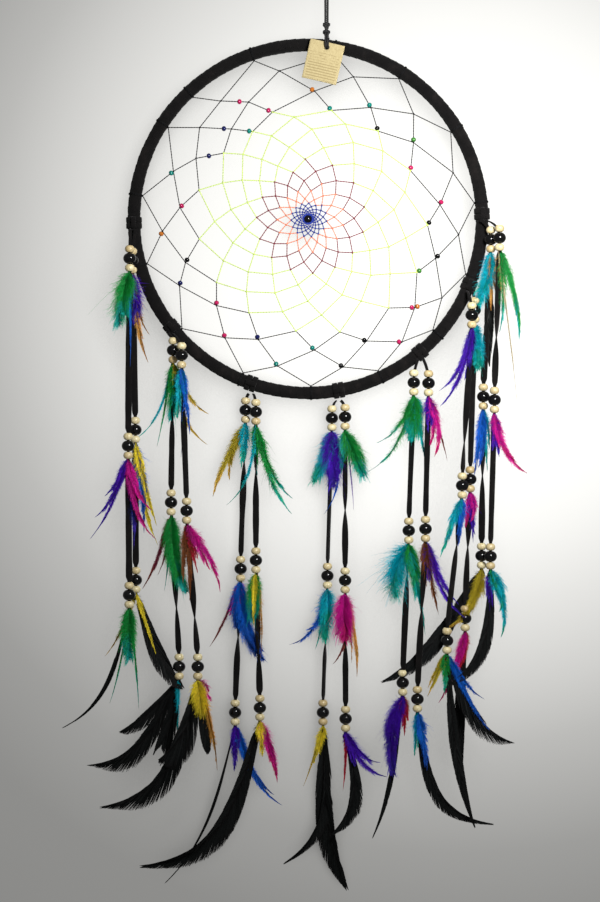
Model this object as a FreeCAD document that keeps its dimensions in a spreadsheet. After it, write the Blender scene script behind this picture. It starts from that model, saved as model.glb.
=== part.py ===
import FreeCAD, Part

import math
import os

import Sketcher
from FreeCAD import Placement, Rotation, Vector

# A dream catcher that hangs on a cord loop: a suede-wrapped hoop with a beaded thread web, a card swing tag,
# and seven beaded and feathered lace pendants.
# Frame: +Z up, +X to the viewer's right, and the viewer looks along +Y. The origin is the top of the hanging
# loop.

SIZES = {
    "hook_to_centre": 254,
    "hoop_offset": -18.5,
    "hoop_radius": 174,
    "core_radius": 4.95,
    "wrap_inner": 5.0,
    "wrap_outer": 6.5,
    "thread_width": 1.0,
    "stitch_clearance": 0.1,
    "cord_radius": 1.0,
    "loop_bend": 2.6,
    "loop_foot": 1.2,
    "upper_knot_drop": 60.5,
    "upper_knot_radius": 3.0,
    "lower_knot_drop": 68,
    "lower_knot_radius": 3.3,
    "tie_ring_radius": 7.6,
    "tie_spacing": 2.3,
    "eye_radius": 4.0,
    "eye_front": 12.5,
    "tie_clearance": 0.05,
    "tag_width": 35,
    "tag_height": 39.5,
    "tag_thickness": 0.8,
    "tag_hole_radius": 2.6,
    "tag_hole_down": 5,
    "tag_turn": 13,
    "black_bead_radius": 6.0,
    "black_bead_half": 5.6,
    "wood_bead_radius": 4.5,
    "wood_bead_half": 4.1,
    "bead_bore": 2.2,
    "bead_pitch": 9.3,
    "web_bead_radius": 2.5,
    "web_bead_bore": 0.8,
    "centre_bead_radius": 4.0,
    "lace_width": 6.4,
    "lace_neck": 3.0,
    "lace_thickness": 1.4,
    "hitch_inner": 6.75,
    "hitch_outer": 8.1,
    "hitch_turn": 5.2,
    "hitch_gap": 0.5,
    "hitch_bar": 2.0,
    "hitch_bar_long": 10.0,
    "hitch_bar_high": 4.4,
    "hitch_bar_sink": 0.6,
    "feather_thickness": 0.8,
}

# The web, in the order its knots are tied, clockwise from the upper left: fifteen stitches round the hoop,
# at these angles from +X, then the knots of the black thread, from the hoop's centre in X and Z. After
# those, each knot is on the thread between two knots of the turn before, nearer to the first of them.
STITCH_ANGLES = [133.3, 108.8, 81, 57.1, 31.3, 5.5, 340.7, 318.4, 294.7, 271, 247.2, 221, 195.5, 172, 146.8]
STITCH_RADIUS = 165.6
BLACK_KNOTS = [
    (-87.2, 118), (-28.7, 148.1), (45.4, 142.2), (105.6, 105), (145.1, 46.2),
    (150.5, -15.6), (133.9, -78.8), (93.9, -122.9), (35.1, -147.9), (-30.4, -147),
    (-83.1, -118.8), (-128.5, -66.6), (-145.6, -12.3), (-134.6, 47.7), (-108.4, 91.5),
    (-59.5, 117), (6.5, 128), (62.8, 111.5), (105.5, 76.5), (132, 14.3),
    (127.6, -39.3), (106.8, -88.5), (58.6, -122), (6.4, -131), (-49.8, -120.4),
    (-91.5, -86.6), (-122.5, -43.5), (-128.1, 11.5), (-112, 60.6), (-76.7, 90),
    (-35.6, 106.9), (23.5, 108.6), (70, 88), (102.5, 48.5), (119.5, -6),
    (109, -53.5), (80.8, -89), (31.8, -113), (-12.2, -112), (-59, -93.8),
    (-91.5, -63.5), (-108.7, -20), (-109, 29), (-84.4, 65.9), (-55.4, 87.5),
]
TURN = len(STITCH_ANGLES)
# The radius at the start of each turn after the black ones, and how far round each knot is between its two.
TURN_RADII = [103, 90, 73, 59, 47.5, 37, 27, 19, 15.2, 12.3, 9.8, 8, 6.8, 5.8]
FIRST_TURN = 4
SWIRL_SHARE = 0.65
INNER_SHARE = 0.56
SWIRL_ENDS_AT = 104
KNOT_COUNT = 255
# Each dyed length of thread: the knot it starts from and the knot it ends at.
THREADS = [("black", 0, 45), ("lime", 45, 104), ("red", 104, 134), ("orange", 134, 164), ("blue", 164, 240)]
COLOUR_GAP = 1.7

# Beads on the web: the knot, and how far from it the bead is along the thread to the turn before.
WEB_BEADS = {
    "pink": [
        (30, 9), (45, 4.3), (57, 21.9), (55, 18.9), (40, 29.2), (37, 31.1), (51, 21.8), (34, 4.2), (48, 4.2),
    ],
    "teal": [(59, 4.2), (28, 4.2), (39, 28.7), (53, 22.4), (32, 4.2), (46, 4.2)],
    "navy": [(44, 7.4), (58, 15), (41, 19.6), (54, 23.9)],
    "black": [(56, 23), (38, 29.1), (52, 24.1), (35, 4.2), (49, 4.2), (47, 4.2)],
    "green": [(50, 4.2), (33, 4.2)],
    "amber": [(27, 4.2), (36, 4.2), (31, 4.2)],
}

# Pendants: how the hitch faces, its X and Z on the hoop, the X lane the pendant swings in, the distance in Y
# between its two tails, and for each tail the X and Z of its three black beads. The rear tail is the first.
PENDANTS = {
    "a": {
        "faces": "front", "hitch": (-192.5, -258), "lane": (-266, -177), "tails_apart": 12.5,
        "tails": [
            [(-193, -297), (-190, -465), (-189.5, -614)],
            [(-194.5, -296), (-196, -481), (-195, -628)],
        ],
    },
    "b": {
        "faces": "front", "hitch": (-154.7, -362.3), "lane": (-176, -105), "tails_apart": 9.5,
        "tails": [
            [(-152.5, -386), (-154.5, -537), (-146.5, -700)],
            [(-143.5, -391.5), (-138.5, -545), (-127.5, -699)],
        ],
    },
    "c": {
        "faces": "down", "hitch": (-75.5, -418.4), "lane": (-104, -27), "tails_apart": 9.5,
        "tails": [
            [(-81, -445), (-86, -604), (-91.5, -748)],
            [(-70.5, -447), (-70.5, -595), (-66.5, -742)],
        ],
    },
    "d": {
        "faces": "down", "hitch": (12, -425.3), "lane": (-26, 48), "tails_apart": 9.5,
        "tails": [
            [(5.5, -453), (1, -611), (-3.5, -748)],
            [(18.5, -452), (18.5, -615), (19, -753)],
        ],
    },
    "e": {
        "faces": "front", "hitch": (93.5, -387.2), "lane": (49, 108), "tails_apart": 9.5,
        "tails": [
            [(86.5, -418), (81.5, -565), (75.5, -716)],
            [(100.5, -419), (97.5, -563), (89.5, -731)],
        ],
    },
    "f": {
        "faces": "front", "hitch": (142.5, -320), "lane": (109, 148.5), "tails_apart": 12.5,
        "tails": [
            [(147, -346), (142.5, -514), (137.5, -652)],
            [(143, -352), (133.5, -520), (118.5, -673)],
        ],
    },
    "g": {
        "faces": "front", "hitch": (155.4, -249), "lane": (149.3, 200), "tails_apart": 11,
        "tails": [
            [(163, -276), (155.5, -432), (153.8, -590)],
            [(170.5, -275.6), (165.5, -435.6), (161.5, -590)],
        ],
    },
}
REAR_TAIL_Y = -13.3
FRONT_START_Y = -11.2
START_DROP = {"front": 7.5, "down": 10.6}
START_APART = 2.4
GROUP_HALF = 13.9
WIDENS_OVER = 8
TAIL_END = 6

# Feathers, by pendant, tail (0 rear, 1 front) and bead group: lean from straight down in degrees (+ to the
# right), length, width, and sideways bend of the middle. At most four to a group of beads.
DYED = {
    "a": {
        (0, 0): [(5, 44, 10, 1), (10, 90, 9, -1)], (1, 0): [(-12, 40, 14, -2), (1, 94, 4, 1)],
        (0, 1): [(12, 104, 6, -4), (22, 84, 9, -7), (6, 90, 9, 2)],
        (1, 1): [(-29, 66, 9, 4), (-26, 88, 5, 3), (4, 90, 8, 2)],
        (0, 2): [(-33, 72, 6, 3)], (1, 2): [(4, 50, 12, 0), (-12, 95, 3, 2)],
    },
    "b": {
        (0, 0): [(-27, 85, 13, 8), (2, 40, 10, 0)],
        (1, 0): [(12, 52, 9, 1), (-1, 88, 3, 1), (24, 78, 7, -7)],
        (0, 1): [(14, 77, 14, -4), (-21, 76, 7, 3), (-5, 75, 3, 1)],
        (1, 1): [(26, 75, 10, 4), (2, 76, 9, 1)],
        (0, 2): [(-3, 55, 9, 0)], (1, 2): [(12, 92, 9, 2), (30, 24, 7, 0)],
    },
    "c": {
        (0, 0): [(-24, 81, 9, -3), (-5, 42, 10, 0)],
        (1, 0): [(-20, 85, 5, 8), (24, 92, 11, -4), (2, 50, 10, 0)],
        (0, 1): [(17, 79, 12, -7), (-18, 45, 9, 0), (-25, 70, 5, 2)],
        (1, 1): [(0, 42, 10, 0), (10, 60, 8, 1)],
        (0, 2): [(-3, 45, 10, 0), (30, 90, 9, -7)], (1, 2): [(6, 30, 8, 0), (15, 62, 10, 3)],
    },
    "d": {
        (0, 0): [(-6, 82, 10, 8), (-24, 60, 5, 2)], (1, 0): [(4, 50, 9, 0), (22, 47, 14, 2), (6, 80, 4, 1)],
        (0, 1): [(-37, 62, 12, 8), (-12, 62, 5, 1)], (1, 1): [(-12, 70, 13, 7), (8, 86, 9, 3)],
        (0, 2): [(-20, 30, 8, 0), (-18, 64, 3, 1)], (1, 2): [(50, 46, 10, -4), (-3, 58, 4, 1)],
    },
    "e": {
        (0, 0): [(-32, 70, 10, 7), (10, 76, 5, 1), (0, 45, 9, 0)], (1, 0): [(3, 58, 11, 2), (10, 64, 3, 1)],
        (0, 1): [(-12, 54, 16, -5), (10, 92, 5, 1)], (1, 1): [(20, 60, 9, -5), (8, 73, 8, 0)],
        (0, 2): [(-8, 75, 12, -5), (10, 28, 8, 0)], (1, 2): [(8, 57, 10, 1)],
    },
    "f": {
        (0, 0): [(-5, 60, 4, 1)], (1, 0): [(-23, 84, 9, 5)],
        (0, 1): [(-8, 35, 8, 0), (2, 50, 8, 0)], (1, 1): [(-20, 60, 8, 0)],
        (0, 2): [(-21, 75, 9, 2)], (1, 2): [(-4, 36, 8, 0), (22, 80, 7, 0)],
    },
    "g": {
        (0, 0): [(-22, 50, 10, 4), (0, 57, 8, 0)], (1, 0): [(11, 89, 9, 3), (7, 150, 3, 1)],
        (0, 1): [(-4, 60, 7, 0), (3, 60, 7, 0)], (1, 1): [(29, 66, 10, -5), (6, 40, 8, 0)],
        (0, 2): [(-20, 45, 7, 3)], (1, 2): [(9, 65, 10, 4), (15, 28, 7, 0)],
    },
}
COQUE = {
    "a": {(0, 1): [(-2, 60, 11, 0)], (0, 2): [(12, 99, 13, -3)], (1, 2): [(-27, 134, 6, 12)]},
    "b": {(0, 2): [(-10, 125, 13, 3), (-5, 79, 4, 1), (-14, 150, 10, 6)], (1, 2): [(8, 70, 10, 1)]},
    "c": {(0, 2): [(-4, 168, 6, 1)], (1, 2): [(-8, 185, 16, 9)]},
    "d": {(0, 2): [(6, 160, 16, -4), (-6, 143, 10, 3)], (1, 2): [(-5, 100, 12, 8)]},
    "e": {(0, 2): [(-8, 144, 7, 3)], (1, 2): [(6, 120, 8, -2)]},
    "f": {(0, 2): [(0, 163, 9, -1)], (1, 2): [(6, 170, 7, 0), (12, 117, 8, -2)]},
    "g": {(0, 2): [(-1, 147, 9, 1)], (1, 2): [(-2, 120, 10, 3)]},
}
FEATHER_LAYERS = (-1.5, 1.5, -2.7, 2.7)
FEATHER_BELOW_BEAD = 0.5
LANE_MARGIN = 0.8

doc = FreeCAD.newDocument("dream_catcher")
sheet = doc.addObject("Spreadsheet::Sheet", "Sizes")
for row, (name, value) in enumerate(SIZES.items(), start=1):
    sheet.set(f"A{row}", name)
    sheet.set(f"B{row}", str(value))
    sheet.setAlias(f"B{row}", name)
doc.recompute()

NODES = []


def size(name):
    """One driving dimension, read from the sheet."""
    return float(sheet.get(name))


def bind(thing, **expressions):
    """Ties an object's properties to the sheet's cells."""
    for prop, words in expressions.items():
        thing.setExpression(prop, words)
    return thing


def primitive(kind, name, **expressions):
    return bind(doc.addObject(f"Part::{kind}", name), **expressions)


def cut(base, tool, label):
    """A boolean cut of two document objects."""
    made = doc.addObject("Part::Cut", label)
    made.Base = base
    made.Tool = tool
    made.Label = label
    return made


def shaped(label, shape):
    """A sub-part whose shape comes from Part's own functions."""
    made = doc.addObject("Part::Feature", label)
    made.Label = label
    made.Shape = shape
    made.Placement = Placement()
    NODES.append(made)
    return made


def hoop_centre():
    return Vector(size("hoop_offset"), 0, -size("hook_to_centre"))


def tube(radius, start, end):
    """A round bar from one point to another."""
    along = end - start
    return Part.makeCylinder(radius, along.Length, start, along)


# Hanging loop and its knot


def make_hanging_loop():
    """Two straight strands up from the knot, joined by the bend that goes over the hook."""
    bend = size("loop_bend")
    radius = size("cord_radius")
    bottom = -size("upper_knot_drop")
    top = -bend - radius
    foot = size("loop_foot")
    lean = math.atan2(bend - foot, top - bottom)
    side = Vector(bend * math.cos(lean), 0, top + bend * math.sin(lean))
    right_run = Part.LineSegment(Vector(foot, 0, bottom), side)
    arc = Part.Arc(side, Vector(0, 0, -radius), Vector(-side.x, 0, side.z))
    left_run = Part.LineSegment(Vector(-side.x, 0, side.z), Vector(-foot, 0, bottom))
    path = Part.Wire([right_run.toShape(), arc.toShape(), left_run.toShape()])
    section = Part.Wire([Part.makeCircle(radius, Vector(foot, 0, bottom), side - Vector(foot, 0, bottom))])
    cord = path.makePipeShell([section], True, True)
    expected = math.pi * radius**2 * path.Length
    print(f"hanging cord: length {path.Length:.1f} mm, volume ratio {cord.Volume / expected:.4f}")
    knot = Part.makeSphere(size("upper_knot_radius"), Vector(0, 0, bottom))
    shaped("hanging_cord", cord.cut(knot))


def make_hanger_knot():
    knot = primitive("Sphere", "hanger_knot", Radius="Sizes.upper_knot_radius")
    knot.Label = "hanger_knot"
    bind(knot, **{"Placement.Base.z": "-Sizes.upper_knot_drop"})
    NODES.append(knot)


# Hoop


def hoop_torus(name, minor):
    """A ring round the hoop's centre line, in the XZ plane."""
    ring = primitive("Torus", name, Radius1="Sizes.hoop_radius", Radius2=minor)
    ring.Placement = Placement(Vector(), Rotation(Vector(1, 0, 0), 90))
    place = {"Placement.Base.x": "Sizes.hoop_offset", "Placement.Base.z": "-Sizes.hook_to_centre"}
    return bind(ring, **place)


def make_hoop():
    core = hoop_torus("hoop_core", "Sizes.core_radius")
    core.Label = "hoop_core"
    outside = hoop_torus("wrap_outside", "Sizes.wrap_outer")
    inside = hoop_torus("wrap_inside", "Sizes.wrap_inner")
    NODES.extend([core, cut(outside, inside, "hoop_wrap")])


def on_hoop(x):
    """The angle from +X of the upper place where the hoop's centre line has this X."""
    return math.degrees(math.acos((x - size("hoop_offset")) / size("hoop_radius")))


def make_hoop_tie():
    """The cord's two turns round the hoop, the lower knot, and the eye that the tag hangs on."""
    angle = on_hoop(0)
    outward = Vector(math.cos(math.radians(angle)), 0, math.sin(math.radians(angle)))
    along = Vector(-outward.z, 0, outward.x)
    middle = hoop_centre() + outward * size("hoop_radius")
    cord = size("cord_radius")
    pieces = []
    for side in (-1, 1):
        centre = middle + along * (side * size("tie_spacing") / 2)
        pieces.append(Part.makeTorus(size("tie_ring_radius"), cord, centre, along))
    knot_at = Vector(0, 0, -size("lower_knot_drop"))
    pieces.append(Part.makeSphere(size("lower_knot_radius"), knot_at))
    pieces.append(tube(cord, knot_at, middle + outward * size("tie_ring_radius")))
    eye_at = Vector(0, -size("eye_front"), middle.z)
    pieces.append(Part.makeTorus(size("eye_radius"), cord, eye_at, Vector(1, 0, 0)))
    tie = pieces[0].fuse(pieces[1:])
    clear = size("wrap_outer") + size("tie_clearance")
    keep_out = Part.makeTorus(size("hoop_radius"), clear, hoop_centre(), Vector(0, 1, 0))
    shaped("hoop_tie", tie.cut(keep_out))
    return eye_at


# Swing tag


def make_swing_tag(eye_at):
    """A card cut with one hole near its top, turned a little clockwise on its eye."""
    body = doc.addObject("PartDesign::Body", "swing_tag")
    body.Label = "swing_tag"
    plane = next(f for f in body.Origin.OriginFeatures if f.Role == "XZ_Plane")
    sketch = body.newObject("Sketcher::SketchObject", "tag_outline")
    sketch.AttachmentSupport = [(plane, "")]
    sketch.MapMode = "FlatFace"
    half, high, above = size("tag_width") / 2, size("tag_height"), size("tag_hole_down")
    hole_radius = size("tag_hole_radius")
    corners = [Vector(-half, above - high, 0), Vector(half, above - high, 0), Vector(half, above, 0)]
    corners.append(Vector(-half, above, 0))
    for n, corner in enumerate(corners):
        sketch.addGeometry(Part.LineSegment(corner, corners[(n + 1) % 4]), False)
    for n in range(4):
        sketch.addConstraint(Sketcher.Constraint("Coincident", n, 2, (n + 1) % 4, 1))
    sketch.addConstraint(Sketcher.Constraint("Horizontal", 0))
    for n in (1, 3):
        sketch.addConstraint(Sketcher.Constraint("Vertical", n))
    hole = sketch.addGeometry(Part.Circle(Vector(), Vector(0, 0, 1), hole_radius), False)
    sketch.addConstraint(Sketcher.Constraint("Coincident", hole, 3, -1, 1))
    sketch.addConstraint(Sketcher.Constraint("Symmetric", 2, 1, 2, 2, -2))
    sizes = [("DistanceX", (0, 1, 0, 2), 2 * half, "Sizes.tag_width")]
    sizes.append(("DistanceY", (1, 1, 1, 2), high, "Sizes.tag_height"))
    sizes.append(("DistanceY", (-1, 1, 2, 1), above, "Sizes.tag_hole_down"))
    sizes.append(("Radius", (hole,), hole_radius, "Sizes.tag_hole_radius"))
    for kind, places, value, words in sizes:
        index = sketch.addConstraint(Sketcher.Constraint(kind, *places, value))
        sketch.setExpression(f"Constraints[{index}]", words)
    pad = body.newObject("PartDesign::Pad", "tag_card")
    pad.Profile = sketch
    pad.Midplane = True
    pad.setExpression("Length", "Sizes.tag_thickness")
    hole_at = eye_at - Vector(0, 0, size("eye_radius"))
    body.Placement = Placement(hole_at, Rotation(Vector(0, 1, 0), size("tag_turn")))
    NODES.append(body)


# Web


def knots_of_web():
    """Every knot in the hoop's plane, in the order they are tied."""
    knots = [polar(STITCH_RADIUS, angle) for angle in STITCH_ANGLES]
    knots += [Vector(x, 0, z) for x, z in BLACK_KNOTS]
    angles = [math.degrees(math.atan2(knot.z, knot.x)) for knot in knots]
    for m in range(len(knots), KNOT_COUNT):
        before, after = angles[m - TURN], angles[m - TURN + 1]
        share = SWIRL_SHARE if m < SWIRL_ENDS_AT else INNER_SHARE
        angles.append(after + share * ((before - after) % 360))
        turn, part = divmod(m / TURN - FIRST_TURN, 1)
        radius = TURN_RADII[int(turn)] * (1 - part) + TURN_RADII[int(turn) + 1] * part
        knots.append(polar(radius, angles[m]))
    return knots


def polar(radius, degrees):
    turn = math.radians(degrees)
    return Vector(radius * math.cos(turn), 0, radius * math.sin(turn))


def one_turn(knots, first):
    """The closed line of one turn of thread, out to its knots and in to the next turn's, anticlockwise."""
    line = [knots[first + TURN]]
    for m in range(first + 1, first + TURN):
        line += [knots[m], knots[m + TURN]]
    return line[::-1]


def moved_in(points, distance):
    """A closed anticlockwise line moved to its left by a distance, with its corners kept."""
    made = []
    for n, p in enumerate(points):
        before = p - points[n - 1]
        after = points[(n + 1) % len(points)] - p
        first = Vector(-before.z, 0, before.x).normalize()
        second = Vector(-after.z, 0, after.x).normalize()
        made.append(p + (first + second) * (distance / (1 + first.dot(second))))
    return made


def closed_face(points):
    return Part.Face(Part.Wire(Part.makePolygon(points + points[:1]).Edges))


def make_web():
    """Each dyed length of thread as a flat net: the outline of its first turn with its cells cut out."""
    half = size("thread_width") / 2
    knots = knots_of_web()
    for colour, first, last in THREADS:
        used = list(knots)
        if first:
            for m in range(first, first + TURN):
                used[m] = knots[m] * ((knots[m].Length - COLOUR_GAP) / knots[m].Length)
        start, end = used[first], used[first + TURN]
        along = (end - start).normalize()
        side = Vector(-along.z, 0, along.x) * half
        lead = closed_face([start + side, start - side, end - side, end + side])
        outline = closed_face(moved_in(one_turn(used, first), -half)).fuse(lead)
        holes = [closed_face(moved_in(one_turn(used, last - TURN), half))]
        for m in range(first, last - TURN):
            cell = [used[m + 1], used[m + TURN], used[m + 2 * TURN], used[m + TURN + 1]]
            holes.append(closed_face(moved_in(cell, half)))
        net = outline.cut(holes).removeSplitter()
        net.translate(hoop_centre() - Vector(0, half, 0))
        shape = net.extrude(Vector(0, 2 * half, 0))
        if not first:
            shape = Part.makeCompound([shape] + stitches())
        shaped(f"web_{colour}", shape)
    return knots


def stitches():
    """The turn of thread round the hoop at each stitch."""
    half = size("thread_width") / 2
    radius = size("wrap_outer") + size("stitch_clearance") + half
    rings = []
    for angle in STITCH_ANGLES:
        outward = polar(1, angle)
        centre = hoop_centre() + outward * size("hoop_radius")
        along = Vector(-outward.z, 0, outward.x)
        rings.append(Part.makeTorus(radius, half, centre, along))
    return rings


def make_web_beads(knots):
    """One small bead pattern, copied on to the threads beside its knots, a node to each colour."""
    ball = primitive("Sphere", "web_bead_ball", Radius="Sizes.web_bead_radius")
    bore = primitive("Cylinder", "web_bead_bore", Radius="Sizes.web_bead_bore")
    bind(bore, Height="4*Sizes.web_bead_radius")
    bind(bore, **{"Placement.Base.z": "-2*Sizes.web_bead_radius"})
    pattern = cut(ball, bore, "web_bead_pattern")
    doc.recompute()
    for colour, places in WEB_BEADS.items():
        beads = []
        for m, distance in places:
            along = (knots[m - TURN] - knots[m]).normalize()
            at = hoop_centre() + knots[m] + along * distance
            place = Placement(at, Rotation(Vector(0, 0, 1), along))
            beads.append(pattern.Shape.transformed(place.toMatrix()))
        shaped(f"web_beads_{colour}", Part.makeCompound(beads))


def make_centre_bead():
    ball = primitive("Sphere", "centre_ball", Radius="Sizes.centre_bead_radius")
    bore = primitive("Cylinder", "centre_bore", Radius="Sizes.web_bead_bore")
    bind(bore, Height="4*Sizes.centre_bead_radius")
    bind(bore, **{"Placement.Base.z": "-2*Sizes.centre_bead_radius"})
    bead = cut(ball, bore, "web_centre_bead")
    bead.Placement.Base = hoop_centre()
    NODES.append(bead)


# Pendants


def make_bead_pattern(kind):
    """An oblate bead with a straight bore along Z."""
    ball = primitive(
        "Ellipsoid", f"{kind}_ball", Radius1=f"Sizes.{kind}_bead_half", Radius2=f"Sizes.{kind}_bead_radius"
    )
    bind(ball, Radius3=f"Sizes.{kind}_bead_radius")
    bore = primitive("Cylinder", f"{kind}_bore", Radius="Sizes.bead_bore", Height=f"4*Sizes.{kind}_bead_half")
    bind(bore, **{"Placement.Base.z": f"-2*Sizes.{kind}_bead_half"})
    pattern = cut(ball, bore, f"{kind}_bead_pattern")
    doc.recompute()
    return pattern.Shape


def tail_depths(pendant):
    """Y of the rear and the front tail."""
    apart = pendant["tails_apart"]
    rear = REAR_TAIL_Y if pendant["faces"] == "front" else apart / 2
    return rear, rear - apart


def tail_start(pendant, tail):
    """The top end of a tail, just under its hitch, where the pendant swings."""
    x, z = pendant["hitch"]
    y = FRONT_START_Y if pendant["faces"] == "front" else 0
    order = 1 if pendant["tails"][1][0][0] > pendant["tails"][0][0][0] else -1
    side = order * (2 * tail - 1)
    return Vector(x + side * START_APART, y, z - START_DROP[pendant["faces"]])


def rectangle(at, width, thick):
    half, deep = width / 2, thick / 2
    corners = [(-half, -deep), (half, -deep), (half, deep), (-half, deep)]
    return Part.makePolygon([at + Vector(x, y, 0) for x, y in corners + corners[:1]])


def make_tail(pendant, tail, depth):
    """A flat lace as a run of straight stretches, drawn narrow where it goes through its beads."""
    wide, neck = size("lace_width"), size("lace_neck")
    groups = pendant["tails"][tail]
    stations = [(tail_start(pendant, tail), neck)]
    for n, (x, z) in enumerate(groups):
        if n:
            above = groups[n - 1]
            for z_wide in (above[1] - GROUP_HALF - WIDENS_OVER, z + GROUP_HALF + WIDENS_OVER):
                share = (above[1] - z_wide) / (above[1] - z)
                stations.append((Vector(above[0] + (x - above[0]) * share, depth, z_wide), wide))
        stations.append((Vector(x, depth, z + GROUP_HALF), neck))
        stations.append((Vector(x, depth, z - GROUP_HALF), neck))
    x, z = groups[-1]
    stations.append((Vector(x, depth, z - GROUP_HALF - TAIL_END), neck))
    length = sum((b[0] - a[0]).Length for a, b in zip(stations, stations[1:]))
    sections = [rectangle(at, width, size("lace_thickness")) for at, width in stations]
    return Part.makeLoft(sections, True, True), length


def make_hitch(letter, pendant):
    """A lark's head: two turns of lace round the hoop and the bar that ties them."""
    x, z = pendant["hitch"]
    middle = Vector(x, 0, z)
    outward = (middle - hoop_centre()).normalize()
    along = Vector(-outward.z, 0, outward.x)
    inner, outer, turn, gap = (size(f"hitch_{word}") for word in ("inner", "outer", "turn", "gap"))
    long, high, sink = (size(f"hitch_bar_{word}") for word in ("long", "high", "sink"))
    turns = []
    for start in (-turn - gap / 2, gap / 2):
        base = middle + along * start
        outside = Part.makeCylinder(outer, turn, base, along)
        turns.append(outside.cut(Part.makeCylinder(inner, turn, base, along)))
    facing = Vector(0, -1, 0)
    across = facing.cross(along)
    corner = middle + facing * (outer - sink) - along * (long / 2) - across * (high / 2)
    corners = [corner, corner + along * long]
    corners += [corners[1] + across * high, corner + across * high]
    bar = closed_face(corners).extrude(facing * (size("hitch_bar") + sink))
    shaped(f"hitch_{letter}", turns[0].fuse([turns[1], bar]))


def feather(start, lean, length, width, bend, lane, layer):
    """A leaf-shaped plate between two curves that meet at both ends, drawn in to the pendant's lane."""
    low, high = lane[0] + LANE_MARGIN + width / 4, lane[1] - LANE_MARGIN - width / 4
    turn = math.radians(lean)
    tip = start + Vector(length * math.sin(turn), 0, -length * math.cos(turn))
    tip.x = min(max(tip.x, low), high)
    middle = (start + tip) * 0.5 + Vector(bend, 0, 0)
    middle.x = min(max(middle.x, low + width / 4), high - width / 4)
    edges = []
    for side in (-1, 1):
        through = middle + Vector(side * width / 2, 0, 0)
        curve = Part.BezierCurve()
        curve.setPoles([start, through * 2 - (start + tip) * 0.5, tip])
        edges.append(curve.toShape())
    thick = size("feather_thickness")
    plate = Part.Face(Part.Wire(edges)).extrude(Vector(0, thick, 0))
    plate.translate(Vector(0, layer - thick / 2, 0))
    return plate


def make_feathers(letter, pendant, table, used):
    """All of a pendant's feathers of one kind, each in a layer of its own beside its lace."""
    depths = tail_depths(pendant)
    plates = []
    for (tail, group), feathers in table[letter].items():
        x, z = pendant["tails"][tail][group]
        start = Vector(x, depths[tail], z - GROUP_HALF - FEATHER_BELOW_BEAD)
        for words in feathers:
            layer = FEATHER_LAYERS[used.get((tail, group), 0)]
            used[tail, group] = used.get((tail, group), 0) + 1
            plates.append(feather(start, *words, pendant["lane"], layer))
    return plates


def make_pendant(letter, pendant, patterns):
    depths = tail_depths(pendant)
    laces, beads = [], {kind: [] for kind in patterns}
    for tail, depth in enumerate(depths):
        lace, length = make_tail(pendant, tail, depth)
        laces.append(lace)
        print(f"lace {letter} tail {tail}: {length:.0f} mm")
        for x, z in pendant["tails"][tail]:
            for kind, offset in (("wood", size("bead_pitch")), ("black", 0), ("wood", -size("bead_pitch"))):
                beads[kind].append(patterns[kind].translated(Vector(x, depth, z + offset)))
    shaped(f"lace_{letter}", Part.makeCompound(laces))
    for kind, copies in beads.items():
        shaped(f"{kind}_beads_{letter}", Part.makeCompound(copies))
    used = {}
    shaped(f"dyed_feathers_{letter}", Part.makeCompound(make_feathers(letter, pendant, DYED, used)))
    shaped(f"coque_feathers_{letter}", Part.makeCompound(make_feathers(letter, pendant, COQUE, used)))
    start = (tail_start(pendant, 0) + tail_start(pendant, 1)) * 0.5
    print(f"pendant {letter} swings about ({start.x:.2f}, {start.y:.2f}, {start.z:.2f})")


def check_and_write():
    """Stops on a failed object or a bad shape, and otherwise writes each node's file."""
    doc.recompute()
    for thing in doc.Objects:
        if any(word in thing.State for word in ("Invalid", "Error")):
            raise RuntimeError(f"{thing.Label} failed: {thing.State}")
    for node in NODES:
        if node.Shape.isNull() or not node.Shape.isValid():
            raise RuntimeError(f"{node.Label} has a bad shape")
    os.makedirs("parts", exist_ok=True)
    for node in NODES:
        node.Shape.exportStep(f"parts/{node.Label}.step")
    print(f"{len(NODES)} nodes written")


make_hanging_loop()
make_hanger_knot()
make_hoop()
EYE_AT = make_hoop_tie()
make_swing_tag(EYE_AT)
make_web_beads(make_web())
make_centre_bead()
PATTERNS = {kind: make_bead_pattern(kind) for kind in ("wood", "black")}
for LETTER, PENDANT in PENDANTS.items():
    make_hitch(LETTER, PENDANT)
    make_pendant(LETTER, PENDANT, PATTERNS)
print(f"tag swings about ({EYE_AT.x:.2f}, {EYE_AT.y:.2f}, {EYE_AT.z:.2f})")
check_and_write()
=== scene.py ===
import math

import bpy
import numpy as np
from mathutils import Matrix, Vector


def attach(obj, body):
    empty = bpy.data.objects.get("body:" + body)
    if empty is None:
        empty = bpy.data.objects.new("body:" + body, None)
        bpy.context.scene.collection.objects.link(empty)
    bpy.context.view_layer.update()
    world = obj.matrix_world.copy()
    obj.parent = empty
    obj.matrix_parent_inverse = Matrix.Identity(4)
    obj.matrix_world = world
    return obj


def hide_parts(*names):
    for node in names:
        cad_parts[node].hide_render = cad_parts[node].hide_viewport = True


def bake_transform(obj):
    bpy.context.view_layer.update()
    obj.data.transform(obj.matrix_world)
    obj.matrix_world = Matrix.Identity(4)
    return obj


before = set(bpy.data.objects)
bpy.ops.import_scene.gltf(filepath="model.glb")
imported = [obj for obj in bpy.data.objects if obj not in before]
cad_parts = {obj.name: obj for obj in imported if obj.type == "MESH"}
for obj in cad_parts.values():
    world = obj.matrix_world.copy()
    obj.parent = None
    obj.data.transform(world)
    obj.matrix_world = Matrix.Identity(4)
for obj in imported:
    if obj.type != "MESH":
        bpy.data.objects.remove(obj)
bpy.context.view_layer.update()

# A dream catcher, hung by its cord. Lengths are in millimetres in the row frame, and turned into metres when
# a mesh is made: +Z up, +X to the viewer's right, the viewer looks along +Y, the origin is the loop's top.

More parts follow.
